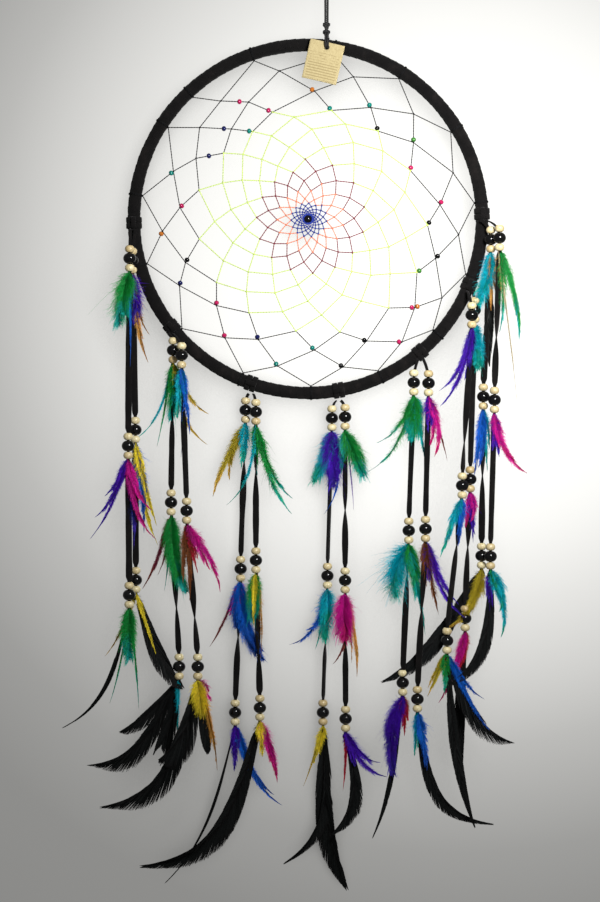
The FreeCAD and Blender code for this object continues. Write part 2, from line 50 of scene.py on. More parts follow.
MM = 0.001
X, Y, Z = np.eye(3)
RNG = np.random.default_rng(7)

HOOP_CENTRE = np.array([-18.5, 0.0, -254.0])
HOOP_RADIUS = 174.0
WRAP_RADIUS = 6.5
CORD_RADIUS = 1.12
UPPER_KNOT = np.array([0.0, 0.0, -60.5])
LOWER_KNOT = np.array([0.0, 0.0, -68.0])
THREAD_RADIUS = 0.46
KNOT_SIZE, KNOT_CORD = 2.9, 1.3

# The web, in the order its knots are tied, clockwise from the upper left: fifteen stitches round the hoop,
# at these angles from +X, then the knots of the black thread, from the hoop's centre in X and Z. After
# those, each knot is on the thread between two knots of the turn before, nearer to the first of them.
STITCH_ANGLES = [133.3, 108.8, 81, 57.1, 31.3, 5.5, 340.7, 318.4, 294.7, 271, 247.2, 221, 195.5, 172, 146.8]
STITCH_RADIUS = 167
BLACK_KNOTS = [
    (-87.2, 118), (-28.7, 148.1), (45.4, 142.2), (105.6, 105), (145.1, 46.2),
    (150.5, -15.6), (133.9, -78.8), (93.9, -122.9), (35.1, -147.9), (-30.4, -147),
    (-83.1, -118.8), (-128.5, -66.6), (-145.6, -12.3), (-134.6, 47.7), (-108.4, 91.5),
    (-59.5, 117), (6.5, 128), (62.8, 111.5), (105.5, 76.5), (132, 14.3),
    (127.6, -39.3), (106.8, -88.5), (58.6, -122), (6.4, -131), (-49.8, -120.4),
    (-91.5, -86.6), (-122.5, -43.5), (-128.1, 11.5), (-112, 60.6), (-76.7, 90),
    (-35.6, 106.9), (23.5, 108.6), (70, 88), (102.5, 48.5), (119.5, -6),
    (109, -53.5), (80.8, -89), (31.8, -113), (-12.2, -112), (-59, -93.8),
    (-91.5, -63.5), (-108.7, -20), (-109, 29), (-84.4, 65.9), (-55.4, 87.5),
]
TURN = len(STITCH_ANGLES)
# The radius at the start of each turn after the black ones, and how far round each knot is between its two.
TURN_RADII = [103, 90, 73, 59, 47.5, 37, 27, 19, 15.2, 12.3, 9.8, 8, 6.8, 5.8]
FIRST_TURN = 4
SWIRL_SHARE = 0.65
INNER_SHARE = 0.56
SWIRL_ENDS_AT = 104
KNOT_COUNT = 255
# How far each span slopes in depth, each hitch's two loops, the stitches on the wrap, and the middle's rings.
SPAN_SLOPE = 0.3
HITCH_APART, HITCH_RADIUS, HITCH_THREAD = 0.35, 0.62, 0.36
STITCH_APART, STITCH_CLEAR = 0.5, 0.3
MIDDLE_RINGS = (4.3, 4.9, 5.5)
# Web beads: outside radius, half length and the bore's radius.
SMALL_BEAD = (2.6, 2.35, 0.7)
MIDDLE_BEAD = (4.0, 3.9, 0.8)
# Each dyed length of thread: the knot it starts from and the knot it ends at.
THREADS = [("black", 0, 45), ("lime", 45, 104), ("red", 104, 134), ("orange", 134, 164), ("blue", 164, 240)]
# Beads on the web: the knot, and how far from it the bead is along the thread to the turn before.
WEB_BEADS = {
    "pink": [(30, 9), (45, 4.3), (57, 23.5), (55, 20.3), (40, 30.8), (37, 32.3), (51, 23), (34, 2.8),
             (48, 2.8)],
    "teal": [(59, 3.5), (28, 2.8), (39, 30.3), (53, 23.6), (32, 2.8), (46, 2.8)],
    "navy": [(44, 7.4), (58, 15), (41, 21.2), (54, 25.5)],
    "black": [(56, 24.2), (38, 30.7), (52, 25.7), (35, 3), (49, 2.8), (47, 2.8)],
    "green": [(50, 2.8), (33, 2.8)],
    "amber": [(27, 2.8), (36, 2.8), (31, 2.8)],
}

# Pendants: which way the hitch faces, its X and Z on the hoop, the distance in Y between the two tails, and
# for each tail the X and Z of its three black beads. The first tail is the rear one.
PENDANTS = {
    "a": ("front", (-192.5, -258), 12.5,
          [[(-193, -297), (-190, -465), (-189.5, -614)], [(-194.5, -296), (-196, -481), (-195, -628)]]),
    "b": ("front", (-154.7, -362.3), 9.5,
          [[(-152.5, -386), (-154.5, -537), (-146.5, -700)],
           [(-143.5, -391.5), (-138.5, -545), (-127.5, -699)]]),
    "c": ("down", (-75.5, -418.4), 9.5,
          [[(-81, -445), (-86, -604), (-91.5, -748)], [(-70.5, -447), (-70.5, -595), (-66.5, -742)]]),
    "d": ("down", (12, -425.3), 9.5,
          [[(5.5, -453), (1, -611), (-3.5, -748)], [(18.5, -452), (18.5, -615), (19, -753)]]),
    "e": ("front", (93.5, -387.2), 9.5,
          [[(86.5, -418), (81.5, -565), (75.5, -716)], [(100.5, -419), (97.5, -563), (89.5, -731)]]),
    "f": ("front", (142.5, -320), 12.5,
          [[(147, -346), (142.5, -514), (137.5, -652)], [(143, -352), (133.5, -520), (118.5, -673)]]),
    "g": ("front", (155.4, -249), 11,
          [[(163, -276), (155.5, -432), (153.8, -590)], [(170.5, -275.6), (165.5, -435.6), (161.5, -590)]]),
}
REAR_TAIL_Y = -13.3
FRONT_START_Y = -11.2
START_DROP = {"front": 7.5, "down": 10.6}
START_APART = 2.4
GROUP_HALF = 13.9
TAIL_END = 6
LACE_WIDTH = 6.4
LACE_NECK = 3.0
LACE_THICKNESS = 1.4
# How far each pendant's laces are turned from flat on, in radians.
LACE_TURN = {"a": 0.1, "b": 0.6, "c": 0.6, "d": 0.85, "e": 0.7, "f": 0.5, "g": 0.5}
# Beads: outside radius and half length, the bore's radius, and from a black bead's middle to a wood bead's.
BLACK_BEAD = (6.4, 5.8)
WOOD_BEAD = (4.75, 4.2)
BEAD_BORE = 2.2
BEAD_PITCH = 9.3

DYES = {
    "green": (0.008, 0.3, 0.05),
    "teal": (0.0, 0.4, 0.5),
    "blue": (0.005, 0.13, 0.6),
    "navy": (0.012, 0.02, 0.2),
    "purple": (0.065, 0.006, 0.42),
    "magenta": (0.62, 0.008, 0.3),
    "crimson": (0.42, 0.01, 0.03),
    "maroon": (0.14, 0.01, 0.03),
    "yellow": (0.85, 0.7, 0.04),
    "olive": (0.42, 0.33, 0.02),
    "ginger": (0.6, 0.31, 0.06),
    "brown": (0.2, 0.06, 0.015),
    "cream": (0.5, 0.42, 0.27),
    "lilac": (0.25, 0.18, 0.45),
}

# What each dye turns to at a feather's tip.
TIP_DYES = {
    "green": "teal", "teal": "green", "blue": "navy", "navy": "purple", "purple": "navy",
    "magenta": "crimson", "maroon": "brown", "yellow": "olive", "olive": "ginger", "ginger": "brown",
}

# Dyed feathers under each group of beads, in the order of GROUP_ORDER: dye, lean from straight down in
# degrees (+ to the right), length, width, and sideways bend of the middle. The first is in front.
GROUP_ORDER = [(tail, group) for group in range(3) for tail in (0, 1)]
DYED = {
    "a": [
        [("purple", 5, 48, 13, 1), ("ginger", 10, 90, 10, -3)],
        [("green", -10, 54, 17, -2), ("blue", 1, 94, 4, 1)],
        [("yellow", 12, 104, 10, -4), ("blue", 6, 90, 10, 2)],
        [
            ("magenta", 20, 84, 10, -8), ("purple", -29, 66, 9, 5), ("purple", -26, 88, 6, 4),
            ("navy", 4, 90, 10, 2),
        ],
        [("yellow", 18, 66, 6, 0), ("olive", -26, 70, 6, 3)],
        [("green", 0, 50, 15, 0), ("green", -12, 96, 4, 2), ("green", 5, 100, 4, 1)],
    ],
    "b": [
        [
            ("olive", 23, 88, 9, -10), ("green", -3, 56, 14, 1), ("teal", -27, 86, 5, 9),
            ("green", -10, 84, 4, 1),
        ],
        [("blue", 8, 66, 9, 1), ("teal", -4, 50, 12, 0), ("blue", -1, 88, 5, 1)],
        [("green", 12, 77, 17, -5), ("maroon", -21, 78, 8, 3), ("teal", -5, 75, 4, 1)],
        [("magenta", 26, 75, 11, 5), ("brown", 2, 76, 10, 1), ("crimson", 14, 50, 9, 0)],
        [("teal", -1, 60, 6, 0)],
        [("yellow", 8, 34, 15, 0), ("ginger", 12, 92, 9, 3), ("magenta", 34, 26, 8, 0)],
    ],
    "c": [
        [("teal", -5, 46, 12, 0), ("olive", -24, 81, 12, -3)],
        [("teal", -20, 85, 6, 9), ("green", 22, 96, 12, -6), ("green", 2, 52, 11, 0)],
        [
            ("blue", 17, 82, 13, -8), ("blue", -4, 46, 14, 0), ("magenta", -20, 36, 12, 0),
            ("maroon", -25, 72, 6, 2),
        ],
        [("yellow", -1, 52, 8, 0), ("green", -5, 46, 14, 0), ("ginger", 2, 84, 5, 2)],
        [("purple", -3, 46, 11, 0), ("blue", 30, 92, 10, -9)],
        [("yellow", 4, 36, 11, 0), ("magenta", 15, 64, 11, 3)],
    ],
    "d": [
        [
            ("purple", 0, 56, 17, 2), ("blue", -6, 84, 5, 10), ("teal", -20, 54, 14, 2),
            ("blue", 10, 44, 12, 0),
        ],
        [("green", 22, 50, 15, 3), ("teal", -6, 44, 12, 0), ("lilac", 6, 80, 3, 1)],
        [("teal", -4, 50, 15, 0), ("blue", -34, 68, 11, 10), ("teal", -12, 62, 7, 1)],
        [("magenta", 1, 46, 19, 0), ("maroon", -10, 72, 8, 8), ("ginger", 8, 84, 8, 3)],
        [("yellow", -16, 40, 11, 0), ("olive", -18, 64, 4, 1)],
        [("purple", 44, 62, 11, -8), ("crimson", -3, 58, 5, 1), ("purple", 16, 36, 10, 0)],
    ],
    "e": [
        [("green", -6, 44, 13, 2), ("green", -32, 90, 9, 10), ("teal", 10, 78, 6, 1), ("teal", 8, 40, 13, 0)],
        [("magenta", 5, 60, 11, 6), ("purple", 2, 36, 12, 0), ("maroon", 16, 66, 4, 1)],
        [("green", 10, 52, 13, 1), ("teal", -14, 54, 22, -6), ("teal", 10, 92, 7, 1)],
        [("brown", 11, 73, 12, 0), ("purple", 27, 84, 10, -8), ("purple", 4, 40, 11, 0)],
        [("purple", -8, 76, 14, -6), ("crimson", 2, 40, 9, 0), ("olive", 10, 30, 9, 0)],
        [("blue", 8, 58, 12, 1), ("teal", -4, 44, 9, 0)],
    ],
    "f": [
        [("teal", 4, 46, 13, 1), ("olive", -5, 62, 5, 1)],
        [("purple", -23, 84, 10, 6), ("navy", -8, 52, 10, 2)],
        [("magenta", -8, 36, 9, 0), ("purple", 2, 50, 9, 0)],
        [("teal", -20, 62, 10, 0), ("blue", -6, 48, 10, 0)],
        [("magenta", -21, 76, 11, 3), ("crimson", -10, 46, 10, 0)],
        [("green", -4, 38, 10, 0), ("olive", -24, 46, 7, 0), ("blue", 30, 96, 8, -4)],
    ],
    "g": [
        [("teal", -20, 64, 13, 6), ("ginger", 0, 58, 10, 0), ("navy", -4, 46, 10, 0)],
        [("green", 11, 90, 11, 4), ("cream", 7, 152, 3, 1), ("ginger", 2, 46, 9, 0)],
        [("blue", -8, 66, 11, 0), ("teal", 3, 62, 8, 0), ("purple", 0, 44, 9, 0)],
        [("magenta", 29, 68, 12, -7), ("purple", 6, 44, 10, 0)],
        [("olive", -33, 72, 12.5, 9), ("yellow", -26, 52, 8, 5), ("crimson", -6, 30, 6, 0)],
        [("teal", 9, 68, 12, 7), ("green", 15, 30, 8, 0), ("purple", 2, 50, 8, 0)],
    ],
}
# Black cock-tail feathers, by tail and group, in the same words without the dye.
COQUE = {
    "a": {(0, 1): [(-2, 60, 12, 0)], (0, 2): [(26, 103, 17, -6)], (1, 2): [(-29, 136, 5, 17)]},
    "b": {
        (0, 2): [(-46, 123, 17, 19), (-48, 78, 13, 5), (-14, 66, 21, 3)],
        (1, 2): [(-37, 158, 20, 28), (8, 72, 12, 1), (-24, 84, 22, 8)],
    },
    "c": {(0, 2): [(-24, 174, 3, 13)], (1, 2): [(-39, 187, 19, 34)]},
    "d": {(0, 2): [(8, 164, 20, -9), (-16, 144, 11, 22)], (1, 2): [(-7, 102, 13, 15)]},
    "e": {(0, 2): [(-12, 144, 8, 5)], (1, 2): [(34, 134, 11, -27)]},
    "f": {(0, 2): [(-1, 164, 11, -4)], (1, 2): [(9, 172, 11, -6), (36, 108, 16, -14)]},
    "g": {(0, 0): [(-1, 112, 10, -2)], (0, 2): [(-41, 148, 16, 12)], (1, 2): [(-21, 124, 13, 18)]},
}


# Materials

CARD_ROWS = 15.0
THREAD_COLOURS = {
    "black": (0.004, 0.004, 0.0045),
    "lime": (0.5, 0.66, 0.13),
    "red": (0.17, 0.006, 0.024),
    "orange": (0.66, 0.19, 0.1),
    "blue": (0.015, 0.03, 0.22),
}
BEAD_COLOURS = {
    "pink": (0.38, 0.012, 0.08),
    "teal": (0.006, 0.17, 0.14),
    "navy": (0.008, 0.011, 0.075),
    "black": (0.0025, 0.0025, 0.003),
    "green": (0.045, 0.18, 0.03),
    "amber": (0.42, 0.13, 0.02),
}


def new_material(name):
    made = bpy.data.materials.new(name)
    made.use_nodes = True
    return made, made.node_tree, made.node_tree.nodes["Principled BSDF"]


def node(tree, kind, inputs=None, **settings):
    """A node with its settings, and its inputs given as values or as other nodes' outputs."""
    made = tree.nodes.new(kind)
    for key, value in settings.items():
        setattr(made, key, value)
    for key, value in (inputs or {}).items():
        fill(tree, made.inputs[key], value)
    return made


def fill(tree, socket, value):
    if isinstance(value, bpy.types.NodeSocket):
        tree.links.new(value, socket)
    else:
        socket.default_value = value


def look(tree, shader, words):
    """The shader's own inputs."""
    for key, value in words.items():
        fill(tree, shader.inputs[key], value)


def point_values(tree):
    """What part() stored on the mesh's points."""
    return node(tree, "ShaderNodeAttribute", attribute_name="values").outputs["Color"]


def seen_as(tree, shader):
    """Makes a shader the material's surface."""
    tree.links.new(shader.outputs[0], tree.nodes["Material Output"].inputs["Surface"])


def noise(tree, scale, detail=3.0, stretch=(1, 1, 1), rough=0.5):
    """Noise in object coordinates, with its scale in features to the metre."""
    where = node(tree, "ShaderNodeTexCoord").outputs["Object"]
    mapped = node(tree, "ShaderNodeMapping", {"Vector": where, "Scale": stretch}).outputs["Vector"]
    words = {"Vector": mapped, "Scale": scale, "Detail": detail, "Roughness": rough}
    return node(tree, "ShaderNodeTexNoise", words).outputs["Fac"]


def ramp(tree, value, stops):
    """Colours or greys along a value."""
    made = node(tree, "ShaderNodeValToRGB", {"Fac": value})
    band = made.color_ramp
    while len(band.elements) < len(stops):
        band.elements.new(0.5)
    for element, (place, colour) in zip(band.elements, stops):
        element.position = place
        element.color = (*colour, 1) if hasattr(colour, "__len__") else (colour, colour, colour, 1)
    return made.outputs["Color"]


def strip(tree, value, *places):
    """From black to white and back, at four places along a value."""
    return ramp(tree, value, list(zip(places, (0.0, 1.0, 1.0, 0.0))))


def bump(tree, shader, height, strength, distance):
    made = node(tree, "ShaderNodeBump", {"Height": height, "Strength": strength, "Distance": distance})
    tree.links.new(made.outputs["Normal"], shader.inputs["Normal"])


def mixed(tree, share, first, second, how="MIX"):
    """Two colours mixed, each an output or a plain colour."""
    inputs = {0: share}
    for key, colour in ((6, first), (7, second)):
        inputs[key] = colour if isinstance(colour, bpy.types.NodeSocket) else (*colour, 1)
    return node(tree, "ShaderNodeMix", inputs, data_type="RGBA", blend_type=how).outputs[2]


def tinted(colour, factor):
    return tuple(min(c * factor, 1) for c in colour)


def suede_material():
    """Black suede: a brown-black nap with rubbed, paler patches and short fibres."""
    made, tree, shader = new_material("black_suede")
    patch = noise(tree, 90, 4)
    nap = noise(tree, 2600, 4, rough=0.7)
    shades = [(0.3, (0.002, 0.0017, 0.0017)), (0.55, (0.0035, 0.003, 0.003)), (0.8, (0.009, 0.007, 0.0065))]
    base = ramp(tree, patch, shades)
    fleck = ramp(tree, nap, [(0.35, 0.55), (0.7, 1.5)])
    look(tree, shader, {
        "Base Color": mixed(tree, 1.0, base, fleck, "MULTIPLY"), "Roughness": 0.95,
        "Specular IOR Level": 0.15, "Sheen Weight": 0.04, "Sheen Roughness": 0.5,
    })
    bump(tree, shader, nap, 0.6, 0.0004)
    return made


def cord_material():
    """Black twisted cord with fine fibres."""
    made, tree, shader = new_material("black_cord")
    fibre = noise(tree, 3500, 3)
    look(tree, shader, {"Base Color": ramp(tree, fibre, [(0.3, 0.003), (0.75, 0.01)]), "Roughness": 0.7})
    bump(tree, shader, fibre, 0.4, 0.0002)
    return made


def thread_material(name, colour):
    """Twisted thread, a little uneven in its dye."""
    made, tree, shader = new_material(f"thread_{name}")
    patch = noise(tree, 220, 3)
    fibre = noise(tree, 5000, 2)
    base = mixed(tree, patch, tinted(colour, 0.78), tinted(colour, 1.18))
    look(tree, shader, {"Base Color": base, "Roughness": 0.8, "Specular IOR Level": 0.15})
    bump(tree, shader, fibre, 0.4, 0.0001)
    return made


def gloss_material(name, colour):
    """A glossy bead: faint swirls under a clear, slightly scuffed surface."""
    made, tree, shader = new_material(f"bead_{name}")
    swirl = noise(tree, 160, 3)
    scuff = noise(tree, 1500, 4)
    base = mixed(tree, swirl, tinted(colour, 0.8), tinted(colour, 1.2))
    worn = ramp(tree, scuff, [(0.35, 0.03), (0.8, 0.08)])
    look(tree, shader, {"Base Color": base, "Roughness": worn, "IOR": 1.4})
    return made


def wood_material():
    """Pale turned wood, waxed: fine grain along the bead, and each bead a shade of its own."""
    made, tree, shader = new_material("pale_wood")
    grain = noise(tree, 420, 5, (1, 1, 0.12), 0.65)
    pore = noise(tree, 1900, 3, (1, 1, 0.1))
    base = ramp(tree, grain, [(0.3, (0.5, 0.4, 0.2)), (0.5, (0.68, 0.6, 0.36)), (0.75, (0.78, 0.72, 0.5))])
    tone = node(tree, "ShaderNodeSeparateColor", {"Color": point_values(tree)}).outputs["Red"]
    shade = ramp(tree, tone, [(0.0, (0.72, 0.62, 0.5)), (1.0, (1.0, 1.0, 0.98))])
    look(tree, shader, {
        "Base Color": mixed(tree, 1.0, base, shade, "MULTIPLY"),
        "Roughness": ramp(tree, pore, [(0.3, 0.5), (0.7, 0.33)]),
        "Coat Weight": 0.2, "Coat Roughness": 0.25,
    })
    bump(tree, shader, pore, 0.25, 0.0002)
    return made


def card_material():
    """Kraft card with fibres and rows of plain printed dashes and bars, laid out over the card."""
    made, tree, shader = new_material("kraft_card")
    fibre = noise(tree, 1400, 5, (1, 1, 0.35), 0.7)
    kraft = [(0.3, (0.29, 0.23, 0.11)), (0.52, (0.38, 0.31, 0.155)), (0.75, (0.46, 0.39, 0.21))]
    base = ramp(tree, fibre, kraft)
    parts = node(tree, "ShaderNodeSeparateColor", {"Color": point_values(tree)}).outputs
    rows = node(tree, "ShaderNodeMath", {0: parts["Green"], 1: CARD_ROWS}, operation="MULTIPLY").outputs[0]
    in_row = node(tree, "ShaderNodeMath", {0: rows}, operation="FRACT").outputs[0]
    across = node(tree, "ShaderNodeCombineXYZ", {"X": parts["Red"], "Y": rows}).outputs[0]
    words = {"Vector": across, "Scale": 7.0, "Detail": 1.0}
    broken = node(tree, "ShaderNodeTexNoise", words, noise_dimensions="2D").outputs["Fac"]
    bar = strip(tree, in_row, 0.25, 0.4, 0.62, 0.75)
    upper = strip(tree, parts["Green"], 0.44, 0.46, 0.74, 0.76)
    lower = strip(tree, parts["Green"], 0.03, 0.05, 0.44, 0.46)
    dashes = mixed(tree, 1.0, upper, ramp(tree, broken, [(0.44, 1.0), (0.5, 0.0)]), "MULTIPLY")
    rows_on = mixed(tree, 1.0, dashes, lower, "ADD")
    margin = strip(tree, parts["Red"], 0.06, 0.08, 0.92, 0.94)
    ink = mixed(tree, 1.0, mixed(tree, 1.0, bar, rows_on, "MULTIPLY"), margin, "MULTIPLY")
    soft = mixed(tree, 1.0, ink, (0.62, 0.62, 0.62), "MULTIPLY")
    look(tree, shader, {"Base Color": mixed(tree, soft, base, (0.17, 0.12, 0.045)), "Roughness": 0.88})
    bump(tree, shader, fibre, 0.3, 0.0002)
    return made


def feather_material(name, glossy):
    """Barbs in the dye stored on them, a little uneven. Light comes through the dyed ones."""
    made, tree, shader = new_material(name)
    fine = ramp(tree, noise(tree, 700, 3), [(0.3, 0.7), (0.7, 1.3)])
    colour = mixed(tree, 1.0, point_values(tree), fine, "MULTIPLY")
    words = {"Base Color": colour, "Roughness": 0.6, "Specular IOR Level": 0.1 if glossy else 0.2}
    look(tree, shader, words)
    if not glossy:
        through = node(tree, "ShaderNodeBsdfTranslucent", {"Color": colour})
        words = {0: 0.3, 1: shader.outputs[0], 2: through.outputs[0]}
        seen_as(tree, node(tree, "ShaderNodeMixShader", words))
    return made


def make_materials():
    made = {"suede": suede_material(), "cord": cord_material(), "card": card_material()}
    made["bead_wood"] = wood_material()
    for name, colour in THREAD_COLOURS.items():
        made[f"thread_{name}"] = thread_material(name, colour)
    for name, colour in BEAD_COLOURS.items():
        made[f"bead_{name}"] = gloss_material(name, colour)
    made["feather_dyed"] = feather_material("dyed_barbs", False)
    made["feather_black"] = feather_material("black_barbs", True)
    return made


MATERIALS = make_materials()


# Meshes


def unit(v):
    return v / np.maximum(np.linalg.norm(v, axis=-1, keepdims=True), 1e-9)


def length_of(line):
    return np.linalg.norm(np.diff(line, axis=0), axis=1).sum()


def heading(angle):
    """The direction in the hoop's plane at an angle from +X towards +Z."""
    return np.array([math.cos(angle), 0, math.sin(angle)])


def eased(share):
    """From 0 to 1 with a slow start and a slow end."""
    return share * share * (3 - 2 * share)


def square_to(axis):
    """Two directions square to an axis and to each other."""
    one = unit(np.cross(axis, Y if abs(axis[1]) < 0.8 else X))
    return one, np.cross(axis, one)


def grid_faces(rings, across, closed_line=True):
    """Quads between rings of points, as indices."""
    i = np.arange(rings if closed_line else rings - 1)[:, None]
    j = np.arange(across)[None]
    k, m = (i + 1) % rings, (j + 1) % across
    return np.stack([i * across + j, i * across + m, k * across + m, k * across + j], -1).reshape(-1, 4)


def join(parts):
    """Several (points, faces, values) as one. Faces are lists of index arrays, one row to a face."""
    points, faces, values, start = [], [], [], 0
    for p, f, v in parts:
        points.append(p)
        faces += [a + start for a in f]
        values.append(v)
        start += len(p)
    return np.concatenate(points), faces, np.concatenate(values)


def part(points, faces, value=(0.5, 0.5, 0.5)):
    """Points with one value each, or the same value for all."""
    points = np.asarray(points, float).reshape(-1, 3)
    values = np.broadcast_to(np.asarray(value, float), (len(points), 3))
    return points, [np.asarray(f) for f in faces], values


def in_scene(name, data):
    made = bpy.data.objects.new(name, data)
    bpy.context.scene.collection.objects.link(made)
    return made


def piece(name, parts, body, slot, replaces=()):
    """One object from its parts, in its slot's material, riding on a body if one is given."""
    points, faces, values = join(parts)
    mesh = bpy.data.meshes.new(name)
    mesh.vertices.add(len(points))
    mesh.vertices.foreach_set("co", (points * MM).astype(np.float32).ravel())
    sizes = np.concatenate([np.full(len(f), f.shape[1]) for f in faces])
    mesh.loops.add(int(sizes.sum()))
    mesh.loops.foreach_set("vertex_index", np.concatenate([f.ravel() for f in faces]).astype(np.int32))
    mesh.polygons.add(len(sizes))
    mesh.polygons.foreach_set("loop_start", (np.cumsum(sizes) - sizes).astype(np.int32))
    mesh.polygons.foreach_set("use_smooth", np.ones(len(sizes), bool))
    mesh.update(calc_edges=True)
    colours = mesh.attributes.new("values", "FLOAT_COLOR", "POINT")
    colours.data.foreach_set("color", np.c_[values, np.ones(len(values))].astype(np.float32).ravel())
    mesh.materials.append(MATERIALS[slot])
    made = in_scene(name, mesh)
    if body:
        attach(made, body)
    if replaces:
        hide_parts(*replaces)
    return made


def spline_points(control, per_span=12):
    """Points of the smooth line through a cord's route, read from its NURBS spline."""
    curve = bpy.data.curves.new("route", "CURVE")
    curve.dimensions = "3D"
    spline = curve.splines.new("NURBS")
    spline.points.add(len(control) - 1)
    for point, at in zip(spline.points, control):
        point.co = (*at, 1)
    spline.order_u = 3
    spline.use_endpoint_u = True
    spline.resolution_u = per_span
    holder = bpy.data.objects.new("route", curve)
    mesh = bpy.data.meshes.new_from_object(holder)
    found = np.array([v.co for v in mesh.vertices], float)
    bpy.data.objects.remove(holder)
    bpy.data.curves.remove(curve)
    bpy.data.meshes.remove(mesh)
    return found


def resampled(points, step, closed=False):
    """Points a step apart along a line."""
    if closed:
        points = np.vstack([points, points[:1]])
    far = np.concatenate([[0], np.cumsum(np.linalg.norm(np.diff(points, axis=0), axis=1))])
    count = max(int(far[-1] / step), 2)
    at = np.linspace(0, far[-1], count + 1)
    if closed:
        at = at[:-1]
    return np.stack([np.interp(at, far, points[:, k]) for k in range(3)], -1), at


def frames(points, closed=False):
    """The direction of a line at its points, with two square directions that don't spin about it."""
    if closed:
        along = unit(np.roll(points, -1, 0) - np.roll(points, 1, 0))
    else:
        along = unit(np.gradient(points, axis=0))
    side = unit(np.cross(along[0], X if abs(along[0][0]) < 0.8 else Y))
    sides = []
    for t in along:
        side = unit(side - t * side.dot(t))
        sides.append(side)
    sides = np.array(sides)
    if closed:
        drift = math.atan2(np.cross(sides[-1], sides[0]).dot(along[0]), sides[-1].dot(sides[0]))
        turn = np.linspace(0, drift, len(points))[:, None]
        sides = sides * np.cos(turn) + np.cross(along, sides) * np.sin(turn)
    return along, sides, np.cross(along, sides)


def swept(points, outline, closed=False, sides=None, value=(0.5, 0.5, 0.5)):
    """A section carried along a line: outline(n) gives the section's two coordinates for all n stations."""
    along, one, other = frames(points, closed)
    if sides is not None:
        one = unit(sides - along * (sides * along).sum(1, keepdims=True))
        other = np.cross(along, one)
    section = outline(len(points))
    rings = points[:, None] + one[:, None] * section[..., :1] + other[:, None] * section[..., 1:]
    across = section.shape[1]
    faces = [grid_faces(len(points), across, closed)]
    if not closed:
        last = (len(points) - 1) * across
        faces += [np.arange(across)[::-1][None], (last + np.arange(across))[None]]
    return part(rings, faces, value)


def circle(radius, across=10):
    """A round section, with one radius or one to a station."""
    turn = np.arange(across) * 2 * math.pi / across
    ring = np.stack([np.cos(turn), np.sin(turn)], -1)
    return lambda n: np.broadcast_to(np.asarray(radius, float).reshape(-1, 1, 1), (n, 1, 1)) * ring


def flat(widths, thicks, twists, corner=0.3):
    """A flat section with rounded corners, turned by an angle at each station."""
    shape = []
    for cx, cy, start in ((1, 1, 0), (-1, 1, 90), (-1, -1, 180), (1, -1, 270)):
        for turn in (10, 80):
            a = math.radians(start + turn)
            shape.append((cx, cy, math.cos(a), math.sin(a)))
    cx, cy, ox, oy = np.array(shape).T

    def outline(n):
        half, deep = np.broadcast_to(widths, n)[:, None] / 2, np.broadcast_to(thicks, n)[:, None] / 2
        r = np.minimum(corner, np.minimum(half, deep))
        x, y = cx * (half - r) + ox * r, cy * (deep - r) + oy * r
        turn = np.broadcast_to(twists, n)[:, None]
        return np.stack([x * np.cos(turn) - y * np.sin(turn), x * np.sin(turn) + y * np.cos(turn)], -1)

    return outline


def rope(points, radius, closed=False, strands=3, pitch=5.5):
    """Twisted strands about a line."""
    line, far = resampled(points, 0.35, closed)
    if closed:
        turns = max(round((far[-1] + 0.35) / pitch), 1)
        spin = 2 * math.pi * turns * np.arange(len(line)) / len(line)
    else:
        spin = 2 * math.pi * far / pitch
    _, one, other = frames(line, closed)
    made = []
    for n in range(strands):
        a = (spin + 2 * math.pi * n / strands)[:, None]
        strand = line + (one * np.cos(a) + other * np.sin(a)) * radius * 0.5
        made.append(swept(strand, circle(radius * 0.54, 8), closed))
    return made


def ring_round(centre, axis, radius, count=48):
    """A circle of points about an axis."""
    one, other = square_to(axis)
    turn = np.linspace(0, 2 * math.pi, count, endpoint=False)[:, None]
    return centre + radius * (one * np.cos(turn) + other * np.sin(turn))


def overhand(centre, size, radius):
    """A pulled-up overhand knot: a trefoil of cord."""
    t = np.linspace(0, 2 * math.pi, 90, endpoint=False)
    knot = np.stack([np.sin(t) + 2 * np.sin(2 * t), -np.sin(3 * t) * 0.9, np.cos(t) - 2 * np.cos(2 * t)], -1)
    return rope(centre + knot * (size / 3), radius, True)


def bead(radius, half, bore, at, axis=Z, segments=28, value=(0.5, 0.5, 0.5)):
    """A turned bead: an oblate outside, a rounded lip and a straight bore."""
    lip = math.acos(min((bore + 0.12 * radius) / radius, 0.99))
    a = np.linspace(-lip, lip, 13)
    profile = [(radius * math.cos(t), half * math.sin(t)) for t in a]
    top = profile[-1][1]
    profile += [(bore + 0.03 * radius, top - 0.02 * half), (bore, top - 0.1 * half)]
    profile += [(bore, -top + 0.1 * half), (bore + 0.03 * radius, -top + 0.02 * half)]
    profile = np.array(profile)
    one, other = square_to(axis)
    turn = np.linspace(0, 2 * math.pi, segments, endpoint=False)
    out = one * np.cos(turn)[:, None] + other * np.sin(turn)[:, None]
    rings = at + out[:, None] * profile[None, :, :1] + axis * profile[None, :, 1:]
    return part(rings, [grid_faces(segments, len(profile))[:, ::-1]], value)


# Cord, tie and tag

EYE = HOOP_CENTRE + np.array([18.5, -12.5, math.sqrt(HOOP_RADIUS**2 - 18.5**2)])
EYE_RADIUS = 4.0
CORD_APART, TIE_RADIUS = 1.15, 7.6
TAG_WIDTH, TAG_HEIGHT, TAG_THICKNESS = 35.0, 39.5, 0.8
TAG_HOLE, TAG_HOLE_DOWN, TAG_TURN = 2.6, 5.0, 13.0


